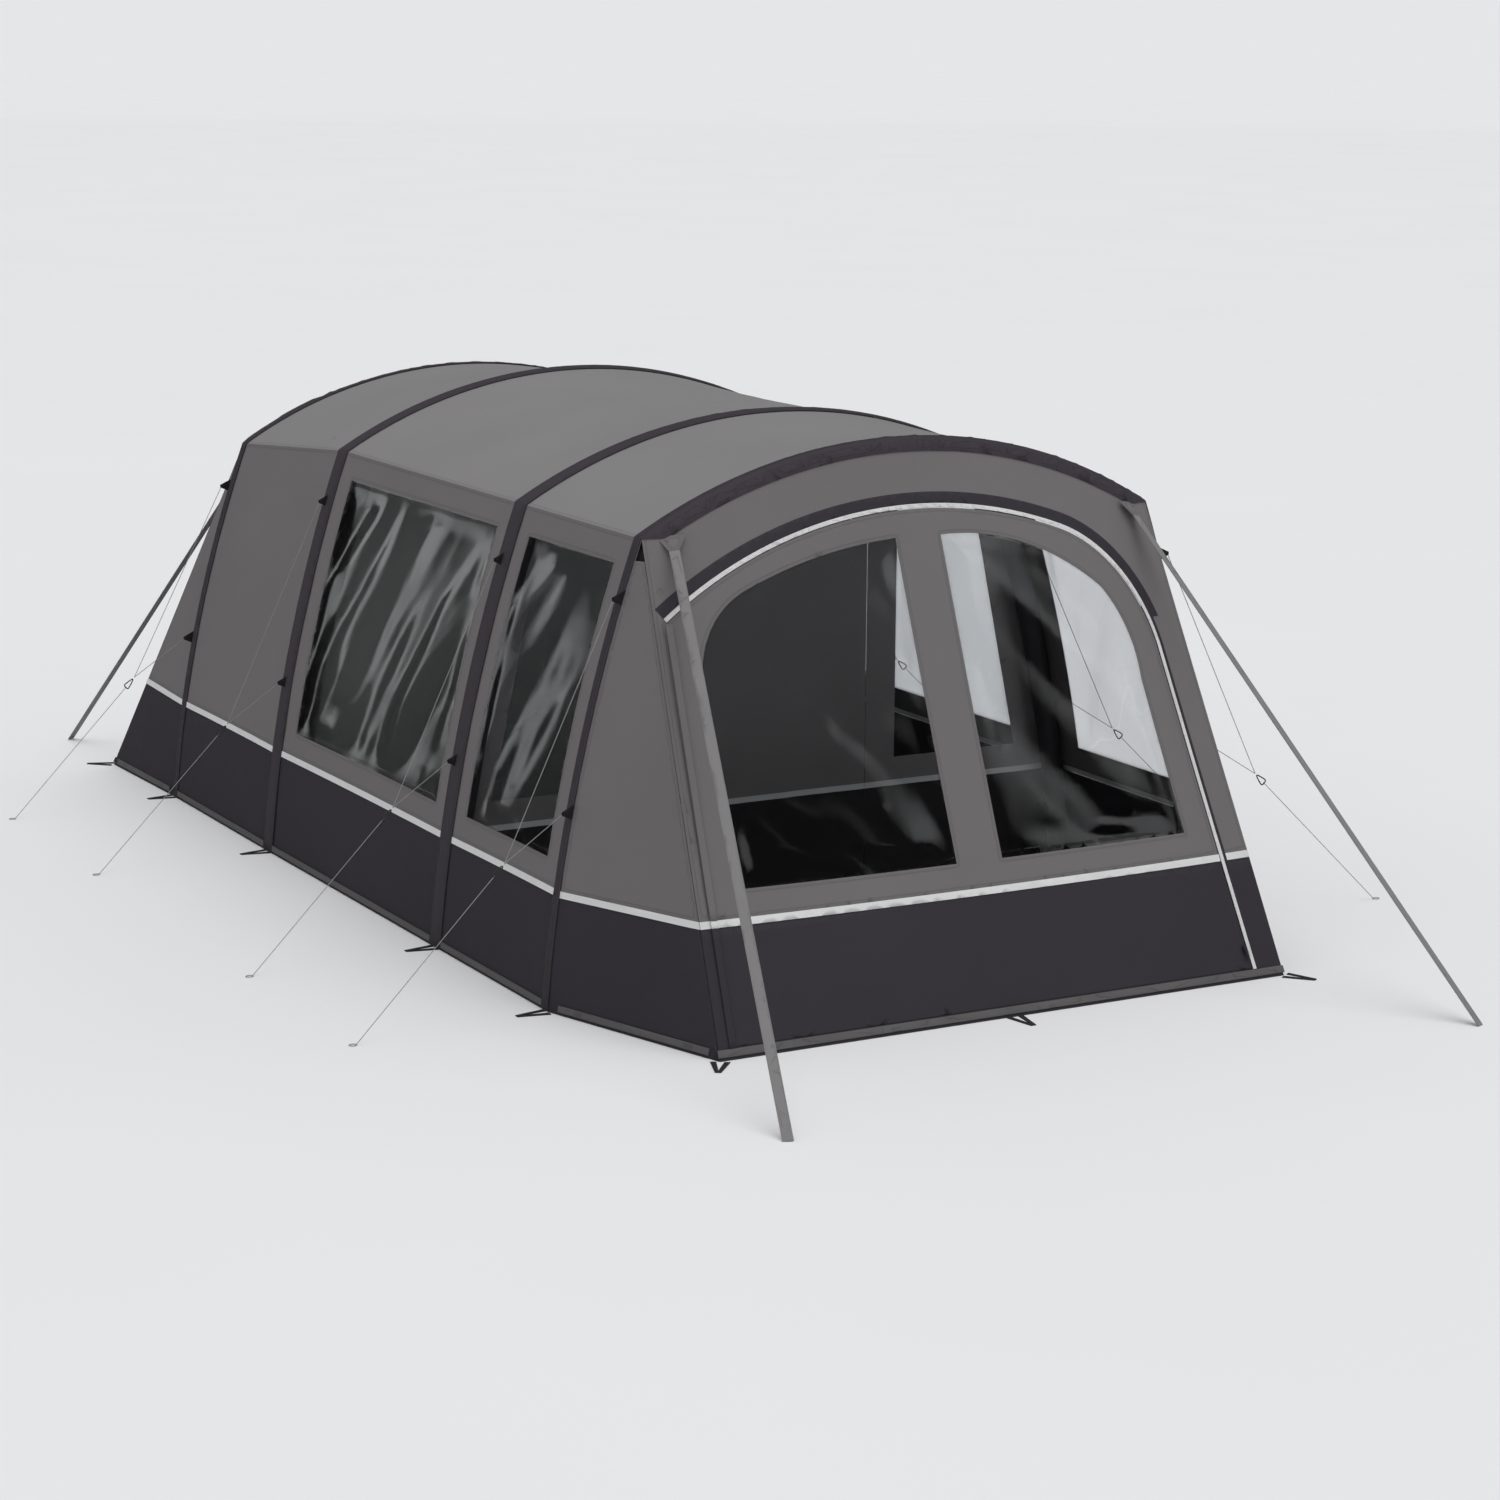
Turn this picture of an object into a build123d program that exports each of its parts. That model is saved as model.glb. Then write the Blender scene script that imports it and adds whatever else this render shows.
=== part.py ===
"""Tunnel tent on four air beams: flysheet, zipped porch door, divider, bedroom, guys and straps.

Millimetres, +Z up, the porch door faces -Y and the tent's centre plane is X = 0.
"""
import os
from collections import namedtuple
from math import hypot

from build123d import *

os.makedirs("parts", exist_ok=True)

# ---------------------------------------------------------------- driving dimensions
# One cross-section of the tent: half width at the ground, half width and height at the
# eaves where the wall meets the roof, and the height of the ridge.
Section = namedtuple("Section", "ground eaves_half eaves ridge")
MAIN = Section(ground=1537.0, eaves_half=1141.0, eaves=1783.0, ridge=2100.0)
REAR = Section(ground=1530.0, eaves_half=1139.0, eaves=1676.0, ridge=2004.0)
WALL_BOW = 62.0            # how far a side wall bows out at half height

PORCH_BEAM_Y = -1940.0     # first beam, over the porch door
PORCH_LENGTH = 1051.0      # first beam to second beam
LIVING_LENGTH = 1849.0     # second beam to third beam
BEDROOM_LENGTH = 1250.0    # third beam to fourth beam
FRONT_RUN = 869.0          # how far the front panel runs out at the ground
REAR_RUN = 824.0           # how far the rear panel runs out at the ground
FRONT_EDGE_HALF = 1265.0   # half length of the front panel's ground edge
REAR_EDGE_HALF = 1550.0    # half length of the rear panel's ground edge

FABRIC = 3.0               # flysheet, window film and inner fabric
SKIN_GAP = 0.5             # between two layers that lie on each other
SKIRT_TOP = 439.0          # dark mud skirt
PIPING = 25.0              # white band along the skirt's top
HEM_LOW = 12.0             # grey hem band, clear of the ground
HEM_HIGH = 37.0

BEAM_RADIUS = 45.0         # inflated tube
SLEEVE_WALL = 2.0
BEAM_BEND = 150.0          # bend of the beam's centre line at the eaves
BEAM_FOOT = 8.0            # beam's lower end above the ground
STRIPE_WIDTH = 105.0       # dark strip over each beam
STRIPE_TURNDOWN = 48.0     # end strips fold down over the sloping panels

WINDOW_LOW = 565.0
WINDOW_HIGH = 1675.0
WINDOW_MARGIN = 150.0      # beam to window edge
PORCH_WINDOW_MARGIN = 155.0
LIVING_WINDOW_REAR = 178.0

ZIP_GAP = 4.0              # between the door and the front surround
ZIP_LEG_FOOT = (1128.0, 0.0)
ZIP_LEG_TOP = (1023.0, 1239.0)
ZIP_CORNER = (910.0, 1533.0)
ZIP_SHOULDER = (658.0, 1724.0)
ZIP_CROWN = (-6.0, 1843.0)
ZIP_END = (-1114.0, 1488.0)
FOLD_FOOT = (-1205.0, 0.0)  # the door folds back along this side
DOOR_SILL = 42.0
FLAP_WIDTH = 42.0          # rain flap along the zip
PIPE_LINE = 15.0           # white edging of the rain flap

DIVIDER_CLEARANCE = 8.0    # divider to the second beam's sleeve
DIVIDER_DOOR_HALF = 500.0
DIVIDER_DOOR_TOP = 1780.0
INNER_SILL = 40.0
PANEL_CLEARANCE = 6.0      # divider to flysheet

GROUNDSHEET_CLEARANCE = 15.0   # inside the beams' sleeves
GROUNDSHEET_WALL = 100.0
GROUNDSHEET_TAPER = 25.0   # narrower still at the rear, inside the last beam

BEDROOM_GAP = 72.0         # bedroom front behind the third beam
BEDROOM_INSET = 210.0
BEDROOM_DOOR_HALF = 360.0
BEDROOM_DOOR_TOP = 1500.0

VENT_HALF = 300.0
VENT_LOW = 1180.0
VENT_HIGH = 1400.0

GUY_HIGH = 1566.0          # upper and lower guy tabs
GUY_LOW = 765.0
REAR_GUY_HIGH = 1480.0
GUY_TAB = 46.0
RING_X = 1726.0
RING_Z = 604.0
GUY_FOOT_X = 2347.0
GUY_LEAN = 66.0            # guy pegs stand this far forward of their beam
REAR_GUY_LEAN = 116.0
CORD_RADIUS = 1.5
LOOP_RADIUS = 14.0

STRAP_WIDTH = 40.0
STRAP_THICK = 3.0
STRAP_FOOT_Y = 3717.0
FRONT_STRAP_X = 1494.0
REAR_STRAP_X = 1545.0

VALVE_HEIGHT = 310.0
VALVE_RADIUS = 24.0
CAP_RADIUS = 27.0
CAP_THICK = 11.0

# ---------------------------------------------------------------- places that follow
LIVING_BEAM_Y = PORCH_BEAM_Y + PORCH_LENGTH
BEDROOM_BEAM_Y = LIVING_BEAM_Y + LIVING_LENGTH
REAR_BEAM_Y = BEDROOM_BEAM_Y + BEDROOM_LENGTH
FRONT_EDGE_Y = PORCH_BEAM_Y - FRONT_RUN
REAR_EDGE_Y = REAR_BEAM_Y + REAR_RUN
SLEEVE_RADIUS = BEAM_RADIUS + 1.0 + SLEEVE_WALL
SLEEVE_DEPTH = FABRIC + 6.0 + SLEEVE_RADIUS     # flysheet's outside to the tube's centre
GROUNDSHEET_INSET = SLEEVE_DEPTH + SLEEVE_RADIUS + GROUNDSHEET_CLEARANCE
END_BEAM_SHIFT = 44.0                           # end beams stand clear of the end panels
BEAMS = {
    "porch": (PORCH_BEAM_Y, MAIN, PORCH_BEAM_Y + END_BEAM_SHIFT),
    "living": (LIVING_BEAM_Y, MAIN, LIVING_BEAM_Y),
    "bedroom": (BEDROOM_BEAM_Y, MAIN, BEDROOM_BEAM_Y),
    "rear": (REAR_BEAM_Y, REAR, REAR_BEAM_Y - END_BEAM_SHIFT),
}
SIDES = (-1, 1)


# ---------------------------------------------------------------- shape of the tent
def grown(section, by):
    """The section moved outward by a distance, square to its surface."""
    return Section(
        section.ground + by,
        section.eaves_half + 0.82 * by,
        section.eaves + 0.673 * by,
        section.ridge + by,
    )


def wall_x(section, z):
    """Half width of a section's bowed wall at a height."""
    t = z / section.eaves
    chord = section.ground + (section.eaves_half - section.ground) * t
    return chord + 4 * WALL_BOW * t * (1 - t)


def across(y):
    """Upright plane across the tent: local x is X, local y is Z."""
    return Plane.XZ.offset(-y)


def wall_line(section, side, low, high):
    mid = (low + high) / 2
    points = [(side * wall_x(section, z), z) for z in (low, mid, high)]
    ThreePointArc(*points)
    return points


def wall_band(y, section, side, low, high=None, lift=0.0):
    """Thin band along one wall; with no top height it runs to the mitre at the eaves."""
    outer = grown(section, lift)
    inner = grown(section, lift - FABRIC)
    with BuildSketch(across(y)) as band:
        with BuildLine():
            outside = wall_line(outer, side, low, high or outer.eaves)
            inside = wall_line(inner, side, low, high or inner.eaves)
            Line(outside[0], inside[0])
            Line(outside[2], inside[2])
        make_face()
    return band.sketch


def roof_line(section):
    ends = [(s * section.eaves_half, section.eaves) for s in SIDES]
    ThreePointArc(ends[0], (0, section.ridge), ends[1])
    return ends


def roof_band(y, section, lift=0.0, depth=FABRIC):
    outer = grown(section, lift)
    inner = grown(section, lift - depth)
    with BuildSketch(across(y)) as band:
        with BuildLine():
            outside = roof_line(outer)
            inside = roof_line(inner)
            Line(outside[0], inside[0])
            Line(outside[1], inside[1])
        make_face()
    return band.sketch


def arch_face(y, section, low):
    """Everything under one arch, down to a height."""
    with BuildSketch(across(y)) as face:
        with BuildLine():
            left = wall_line(section, -1, low, section.eaves)
            roof_line(section)
            right = wall_line(section, 1, low, section.eaves)
            Line(left[0], right[0])
        make_face()
    return face.sketch


def ground_strip(section_run, edge_half, edge_y, lift=0.0):
    """Foot of an end panel: a thin strip along its ground edge, mitred at the corners."""
    toward = 1 if section_run > 0 else -1
    outer_y = edge_y - toward * lift
    inner_y = outer_y + toward * FABRIC
    outer_half = edge_half + lift
    inner_half = outer_half - FABRIC
    with BuildSketch(Plane.XY) as strip:
        with BuildLine():
            Polyline(
                (-outer_half, outer_y),
                (outer_half, outer_y),
                (inner_half, inner_y),
                (-inner_half, inner_y),
                close=True,
            )
        make_face()
    return strip.sketch


def end_slab(section, beam_y, edge_y, edge_half, lift=0.0):
    """Sloping end panel: ruled from its straight ground edge up to the end arch."""
    with BuildPart() as slab:
        foot = ground_strip(beam_y - edge_y, edge_half, edge_y, lift)
        loft([foot, roof_band(beam_y, section, lift)], ruled=True)
    return slab.part


FRONT_SLAB = end_slab(MAIN, PORCH_BEAM_Y, FRONT_EDGE_Y, FRONT_EDGE_HALF)
FRONT_OVERLAY = end_slab(MAIN, PORCH_BEAM_Y, FRONT_EDGE_Y, FRONT_EDGE_HALF, SKIN_GAP + FABRIC)
REAR_SLAB = end_slab(REAR, REAR_BEAM_Y, REAR_EDGE_Y, REAR_EDGE_HALF)
REAR_OVERLAY = end_slab(REAR, REAR_BEAM_Y, REAR_EDGE_Y, REAR_EDGE_HALF, SKIN_GAP + FABRIC)


# ---------------------------------------------------------------- outlines on the front panel
def rectangle(plane, low_x, high_x, low_z, high_z):
    with BuildSketch(plane) as outline:
        with Locations(((low_x + high_x) / 2, (low_z + high_z) / 2)):
            Rectangle(high_x - low_x, high_z - low_z)
    return outline.sketch


def strip(low_z, high_z, plane):
    """The full width of the tent between two heights."""
    return rectangle(plane, -2 * MAIN.ground, 2 * MAIN.ground, low_z, high_z)


FRONT_PLANE = across(FRONT_EDGE_Y - 100)
REAR_PLANE = across(REAR_BEAM_Y - 100)
SIDE_PLANE = Plane.YZ.offset(-2 * MAIN.ground)
DEEP = 2000.0              # outlines start outside the tent and run right through it
THROUGH = 4 * MAIN.ground


def door_outline(grow):
    """The unzipped part of the front panel: zip leg, corner, crown and the fold line."""
    with BuildSketch(FRONT_PLANE) as outline:
        with BuildLine():
            Line(ZIP_LEG_FOOT, ZIP_LEG_TOP)
            ThreePointArc(ZIP_LEG_TOP, ZIP_CORNER, ZIP_SHOULDER)
            ThreePointArc(ZIP_SHOULDER, ZIP_CROWN, ZIP_END)
            Line(ZIP_END, FOLD_FOOT)
            Line(FOLD_FOOT, ZIP_LEG_FOOT)
        make_face()
        offset(amount=grow, kind=Kind.INTERSECTION, mode=Mode.REPLACE)
    return outline.sketch


def left_window_outline():
    """Film window left of the door's mullion, domed along its top."""
    with BuildSketch(FRONT_PLANE) as outline:
        with BuildLine():
            Line((-119, 560), (-119, 1741))
            ThreePointArc((-119, 1741), (-460, 1693), (-776, 1592))
            ThreePointArc((-776, 1592), (-955, 1452), (-1026, 1250))
            Line((-1026, 1250), (-1052, 560))
            Line((-1052, 560), (-119, 560))
        make_face()
    return outline.sketch


def right_window_outline():
    """Film window right of the mullion, beside the zip."""
    with BuildSketch(FRONT_PLANE) as outline:
        with BuildLine():
            Line((85, 560), (948, 560))
            Line((948, 560), (904, 1141))
            ThreePointArc((904, 1141), (881, 1342), (798, 1495))
            ThreePointArc((798, 1495), (483, 1679), (85, 1741))
            Line((85, 1741), (85, 560))
        make_face()
    return outline.sketch


def cut_from(blank, keep, drop=(), direction=(0, 1, 0)):
    """A piece of a larger blank: inside every kept outline and outside every dropped one."""
    with BuildPart() as piece:
        add(blank)
        for outline in keep:
            extrude(outline, amount=THROUGH, dir=direction, mode=Mode.INTERSECT)
        for outline in drop:
            extrude(outline, amount=THROUGH, dir=direction, mode=Mode.SUBTRACT)
    return piece.part


def finish(piece, name):
    """Label a finished piece and write it."""
    piece.label = name
    export_step(piece, f"parts/{name}.step")


# ---------------------------------------------------------------- air beams and their sleeves
def beam_path(section, y):
    """Centre line of a beam: up one wall, over the roof and down the other."""
    line = grown(section, -SLEEVE_DEPTH)
    with BuildLine(across(y)) as path:
        wall_line(line, -1, BEAM_FOOT, line.eaves)
        roof_line(line)
        wall_line(line, 1, BEAM_FOOT, line.eaves)
        corners = path.vertices().filter_by(lambda v: v.Z > line.eaves - 1)
        fillet(corners, BEAM_BEND)
    return path.line


def tube(path, radius):
    start = Plane(origin=path @ 0, z_dir=path % 0)
    with BuildPart() as solid:
        with BuildSketch(start):
            Circle(radius)
        sweep(path=path, transition=Transition.ROUND)
    return solid.part


PATHS = {name: beam_path(section, y) for name, (_, section, y) in BEAMS.items()}
for name, path in PATHS.items():
    finish(tube(path, BEAM_RADIUS), f"air_beam_{name}")


with BuildPart() as beam_sleeves:
    for path in PATHS.values():
        add(tube(path, SLEEVE_RADIUS))
        add(tube(path, SLEEVE_RADIUS - SLEEVE_WALL), mode=Mode.SUBTRACT)
finish(beam_sleeves.part, "beam_sleeves")


# ---------------------------------------------------------------- the three bays
Bay = namedtuple("Bay", "start start_section end end_section")
BAYS = {
    "porch": Bay(PORCH_BEAM_Y, MAIN, LIVING_BEAM_Y, MAIN),
    "living": Bay(LIVING_BEAM_Y, MAIN, BEDROOM_BEAM_Y, MAIN),
    "bedroom": Bay(BEDROOM_BEAM_Y, MAIN, REAR_BEAM_Y, REAR),
}
PIPING_TOP = SKIRT_TOP + PIPING


def slice_y(low_y, high_y):
    """Plan outline of the tent between two places along it."""
    return rectangle(Plane.XY.offset(-DEEP), -DEEP, DEEP, low_y, high_y)


def bay_wall(bay, side, low, high=None, lift=0.0):
    with BuildPart() as wall:
        start = wall_band(bay.start, bay.start_section, side, low, high, lift)
        end = wall_band(bay.end, bay.end_section, side, low, high, lift)
        loft([start, end], ruled=True)
    return wall.part


def arch_band(y, section, low, lift):
    """Thin band up one wall, over the roof and down the other, broken where the panels are."""
    outer = grown(section, lift)
    inner = grown(section, lift - FABRIC)
    with BuildSketch(across(y)) as band:
        with BuildLine():
            for line in (outer, inner):
                breaks = (low, SKIRT_TOP, PIPING_TOP, line.eaves)
                for side in SIDES:
                    for bottom, top in zip(breaks, breaks[1:]):
                        wall_line(line, side, bottom, top)
                roof_line(line)
            for side in SIDES:
                Line((side * wall_x(outer, low), low), (side * wall_x(inner, low), low))
        make_face()
    return band.sketch


for name, bay in BAYS.items():
    with BuildPart() as roof:
        start = roof_band(bay.start, bay.start_section)
        end = roof_band(bay.end, bay.end_section)
        loft([start, end], ruled=True)
    finish(roof.part, f"roof_{name}")

# side windows: one in the porch bay and one in the living bay, on both walls
SIDE_WINDOWS = (
    (PORCH_BEAM_Y + PORCH_WINDOW_MARGIN, LIVING_BEAM_Y - WINDOW_MARGIN, "porch"),
    (LIVING_BEAM_Y + WINDOW_MARGIN, BEDROOM_BEAM_Y - LIVING_WINDOW_REAR, "living"),
)
WINDOW_OUTLINES = {
    bay: rectangle(SIDE_PLANE, low_y, high_y, WINDOW_LOW, WINDOW_HIGH)
    for low_y, high_y, bay in SIDE_WINDOWS
}
for side, hand in zip(SIDES, ("left", "right")):
    with BuildPart() as wall:
        for name, bay in BAYS.items():
            holes = [WINDOW_OUTLINES[name]] if name in WINDOW_OUTLINES else []
            add(cut_from(bay_wall(bay, side, PIPING_TOP), [], holes, (1, 0, 0)))
    finish(wall.part, f"wall_{hand}")

with BuildPart() as side_windows:
    for side in SIDES:
        for name, outline in WINDOW_OUTLINES.items():
            add(cut_from(bay_wall(BAYS[name], side, PIPING_TOP), [outline], [], (1, 0, 0)))
finish(side_windows.part, "side_windows")


# ---------------------------------------------------------------- corner gussets
CORNER_SEAM = 5.0          # gusset's clearance from the end panel's corner
GUSSET_TOP = 0.955         # share of the eaves height where a gusset ends
End = namedtuple("End", "section beam_y edge_y edge_half")
ENDS = {
    "front": End(MAIN, PORCH_BEAM_Y, FRONT_EDGE_Y, FRONT_EDGE_HALF),
    "rear": End(REAR, REAR_BEAM_Y, REAR_EDGE_Y, REAR_EDGE_HALF),
}


def gusset_level(end, side, z, lift):
    """Level slice of a gusset, from the end beam to the corner of the end panel."""
    outer = grown(end.section, lift)
    inner = grown(end.section, lift - FABRIC)
    t = z / end.section.eaves
    corner_x = end.edge_half + (end.section.eaves_half - end.edge_half) * t + lift
    corner_y = end.edge_y + (end.beam_y - end.edge_y) * t
    run_x = wall_x(outer, z) - corner_x
    run_y = end.beam_y - corner_y
    back_off = CORNER_SEAM / hypot(run_x, run_y)
    near_x = corner_x + run_x * back_off
    near_y = corner_y + run_y * back_off
    with BuildSketch(Plane.XY.offset(z)) as level:
        with BuildLine():
            Polyline(
                (side * wall_x(outer, z), end.beam_y),
                (side * near_x, near_y),
                (side * (near_x - FABRIC), near_y),
                (side * wall_x(inner, z), end.beam_y),
                close=True,
            )
        make_face()
    return level.sketch


def gusset(end, side, low, high, lift=0.0, steps=4):
    with BuildPart() as panel:
        heights = [low + (high - low) * i / steps for i in range(steps + 1)]
        loft([gusset_level(end, side, z, lift) for z in heights], ruled=True)
    return panel.part


with BuildPart() as corner_gussets:
    for end in ENDS.values():
        for side in SIDES:
            add(gusset(end, side, PIPING_TOP, GUSSET_TOP * end.section.eaves, steps=6))
finish(corner_gussets.part, "corner_gussets")

# ---------------------------------------------------------------- mud skirts, piping and hem
with BuildPart() as skirt_sides:
    for side in SIDES:
        for bay in BAYS.values():
            add(bay_wall(bay, side, 0.0, SKIRT_TOP))
finish(skirt_sides.part, "skirt_sides")
with BuildPart() as skirt_corners:
    for side in SIDES:
        for end in ENDS.values():
            add(gusset(end, side, 0.0, SKIRT_TOP))
finish(skirt_corners.part, "skirt_corners")

DOOR_OPENING = door_outline(ZIP_GAP / 2)
DOOR_SHAPE = door_outline(-ZIP_GAP / 2)
ABOVE_SILL = strip(DOOR_SILL - 2, 2 * MAIN.ridge, FRONT_PLANE)
with BuildSketch(FRONT_PLANE) as doorway:
    add(DOOR_OPENING)
    add(ABOVE_SILL, mode=Mode.INTERSECT)
skirt_front = cut_from(FRONT_SLAB, [strip(0, SKIRT_TOP, FRONT_PLANE)], [doorway.sketch])
finish(skirt_front, "skirt_front")
skirt_rear = cut_from(REAR_SLAB, [strip(0, SKIRT_TOP, REAR_PLANE)])
finish(skirt_rear, "skirt_rear")

with BuildPart() as body_piping:
    for side in SIDES:
        for bay in BAYS.values():
            add(bay_wall(bay, side, SKIRT_TOP, PIPING_TOP))
        for end in ENDS.values():
            add(gusset(end, side, SKIRT_TOP, PIPING_TOP, steps=1))
    band = strip(SKIRT_TOP, PIPING_TOP, FRONT_PLANE)
    add(cut_from(FRONT_SLAB, [band], [DOOR_OPENING]))
    add(cut_from(REAR_SLAB, [strip(SKIRT_TOP, PIPING_TOP, REAR_PLANE)]))
finish(body_piping.part, "body_piping")

LIFT = SKIN_GAP + FABRIC   # outer skin of a second layer
STRIPE_HALF = STRIPE_WIDTH / 2
HEM_BREAK = STRIPE_HALF + 3.0
with BuildPart() as hem_band:
    for side in SIDES:
        for bay in BAYS.values():
            span = slice_y(bay.start + HEM_BREAK, bay.end - HEM_BREAK)
            band = bay_wall(bay, side, HEM_LOW, HEM_HIGH, LIFT)
            add(cut_from(band, [span], [], (0, 0, 1)))
        for end in ENDS.values():
            low_y, high_y = sorted((end.beam_y, end.edge_y))
            span = slice_y(low_y + HEM_BREAK, high_y - HEM_BREAK)
            band = gusset(end, side, HEM_LOW, HEM_HIGH, LIFT, steps=1)
            add(cut_from(band, [span], [], (0, 0, 1)))
    add(cut_from(FRONT_OVERLAY, [strip(HEM_LOW, HEM_HIGH, FRONT_PLANE)]))
    add(cut_from(REAR_OVERLAY, [strip(HEM_LOW, HEM_HIGH, REAR_PLANE)]))
finish(hem_band.part, "hem_band")

# ---------------------------------------------------------------- stripes over the beams
STRIPE_LOW = 5.0


def stripe_half(bay, low_y, high_y):
    with BuildPart() as shell:
        start = arch_band(bay.start, bay.start_section, STRIPE_LOW, LIFT)
        end = arch_band(bay.end, bay.end_section, STRIPE_LOW, LIFT)
        loft([start, end], ruled=True)
    return cut_from(shell.part, [slice_y(low_y, high_y)], [], (0, 0, 1))


def turned_down(end, overlay, plane):
    """The part of an end stripe that folds over onto the sloping end panel."""
    under = grown(end.section, -STRIPE_TURNDOWN)
    return cut_from(overlay, [strip(end.section.eaves, end.section.ridge * 2, plane)],
                    [arch_face(plane.origin.Y, under, 0)])


with BuildPart() as beam_stripes:
    for bay in BAYS.values():
        add(stripe_half(bay, bay.start, bay.start + STRIPE_HALF))
        add(stripe_half(bay, bay.end - STRIPE_HALF, bay.end))
    add(turned_down(ENDS["front"], FRONT_OVERLAY, FRONT_PLANE))
    add(turned_down(ENDS["rear"], REAR_OVERLAY, REAR_PLANE))
finish(beam_stripes.part, "beam_stripes")

# ---------------------------------------------------------------- front panel and porch door
ABOVE_PIPING = strip(PIPING_TOP, 2 * MAIN.ridge, FRONT_PLANE)
finish(cut_from(FRONT_SLAB, [ABOVE_PIPING], [DOOR_OPENING]), "front_surround")

DOOR_WINDOWS = [left_window_outline(), right_window_outline()]
finish(cut_from(FRONT_SLAB, [DOOR_SHAPE, ABOVE_PIPING], DOOR_WINDOWS), "door_panel")
with BuildPart() as door_windows:
    for hole in DOOR_WINDOWS:
        panel = cut_from(FRONT_SLAB, [strip(WINDOW_LOW - 10, 2 * MAIN.ridge, FRONT_PLANE)])
        door_without = cut_from(panel, [], [hole])
        with_hole_filled = panel - door_without
        add(with_hole_filled)
finish(door_windows.part, "door_windows")
door_low = strip(DOOR_SILL, SKIRT_TOP, FRONT_PLANE)
finish(cut_from(FRONT_SLAB, [DOOR_SHAPE, door_low]), "door_skirt")
door_band = strip(SKIRT_TOP, PIPING_TOP, FRONT_PLANE)
finish(cut_from(FRONT_SLAB, [DOOR_SHAPE, door_band]), "door_piping")

# white edging and rain flap over the zip: wide over the crown, narrow down the leg
with BuildSketch(FRONT_PLANE) as zip_side:
    with BuildLine():
        Polyline(ZIP_END, (-1190, 1600), (-1190, 2300), (1600, 2300), (1600, HEM_HIGH + 3),
                 (900, HEM_HIGH + 3),
                 (600, 1000), close=True)
    make_face()
crown_side = strip(ZIP_LEG_TOP[1] + 120, 2 * MAIN.ridge, FRONT_PLANE)
leg_side = strip(0, ZIP_LEG_TOP[1] + 119, FRONT_PLANE)
edging_outside = door_outline(ZIP_GAP / 2 + PIPE_LINE)
edging = cut_from(FRONT_OVERLAY, [edging_outside, zip_side.sketch], [DOOR_OPENING])
finish(edging, "zip_edging")
edging_clear = door_outline(ZIP_GAP / 2 + PIPE_LINE + 0.5)
with BuildPart() as zip_rain_flap:
    wide = door_outline(ZIP_GAP / 2 + PIPE_LINE + FLAP_WIDTH)
    narrow = door_outline(ZIP_GAP / 2 + PIPE_LINE + FLAP_WIDTH / 3)
    add(cut_from(FRONT_OVERLAY, [wide, crown_side, zip_side.sketch], [edging_clear]))
    add(cut_from(FRONT_OVERLAY, [narrow, leg_side, zip_side.sketch], [edging_clear]))
finish(zip_rain_flap.part, "zip_rain_flap")


# ---------------------------------------------------------------- zip slider and its puller
def front_slope(z):
    """How far back the front panel has leaned at a height on the zip's leg."""
    leg_arch = 1850.0
    return FRONT_EDGE_Y + (PORCH_BEAM_Y - FRONT_EDGE_Y) * z / leg_arch


def leg_point(z):
    share = z / ZIP_LEG_TOP[1]
    x = ZIP_LEG_FOOT[0] + (ZIP_LEG_TOP[0] - ZIP_LEG_FOOT[0]) * share
    return Vector(x, front_slope(z), z)


LEG_UP = (leg_point(1000) - leg_point(0)).normalized()
LEG_OUT = Vector(1, 0, 0).cross(LEG_UP).normalized() * -1
LEG_OUT = LEG_OUT if LEG_OUT.Y < 0 else LEG_OUT * -1
SLIDER_Z = 112.0
SLIDER_SIZE = (16.0, 34.0, 9.0)
SLIDER_LIFT = 2.6
slider_plane = Plane(
    origin=leg_point(SLIDER_Z) + Vector(-14, 0, 0) + LEG_OUT * SLIDER_LIFT,
    x_dir=LEG_OUT.cross(LEG_UP) * -1,
    z_dir=LEG_OUT,
)
with BuildPart() as zip_slider:
    with BuildSketch(slider_plane):
        RectangleRounded(SLIDER_SIZE[0], SLIDER_SIZE[1], 5)
    extrude(amount=SLIDER_SIZE[2])
    with BuildSketch(slider_plane.offset(SLIDER_SIZE[2] / 2)):
        Rectangle(SLIDER_SIZE[0] + 2, 7)
    extrude(amount=1.8, both=True, mode=Mode.SUBTRACT)
finish(zip_slider.part, "zip_slider")

PULLER_SIZE = (11.0, 52.0, 2.4)
puller_plane = slider_plane.offset(SLIDER_SIZE[2] + 0.5)
with BuildPart() as zip_puller:
    with BuildSketch(puller_plane):
        with Locations((0, -PULLER_SIZE[1] / 2 + 6)):
            SlotOverall(PULLER_SIZE[1], PULLER_SIZE[0], rotation=90)
        with Locations((0, -PULLER_SIZE[1] + 14)):
            SlotOverall(14, 4, rotation=90, mode=Mode.SUBTRACT)
    extrude(amount=PULLER_SIZE[2])
finish(zip_puller.part, "zip_puller")

# ---------------------------------------------------------------- groundsheet
def footprint(inset):
    """Plan outline of the floor, inside the skirts."""
    half = MAIN.ground - inset
    front_half = FRONT_EDGE_HALF - inset * 0.8
    rear_half = REAR_EDGE_HALF - inset - GROUNDSHEET_TAPER
    front_y = FRONT_EDGE_Y + inset * 0.6
    rear_y = REAR_EDGE_Y - inset * 0.6
    with BuildSketch() as plan:
        with BuildLine():
            Polyline(
                (-front_half, front_y),
                (front_half, front_y),
                (half, PORCH_BEAM_Y),
                (half, BEDROOM_BEAM_Y),
                (rear_half, rear_y),
                (-rear_half, rear_y),
                (-half, BEDROOM_BEAM_Y),
                (-half, PORCH_BEAM_Y),
                close=True,
            )
        make_face()
    return plan.sketch


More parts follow.
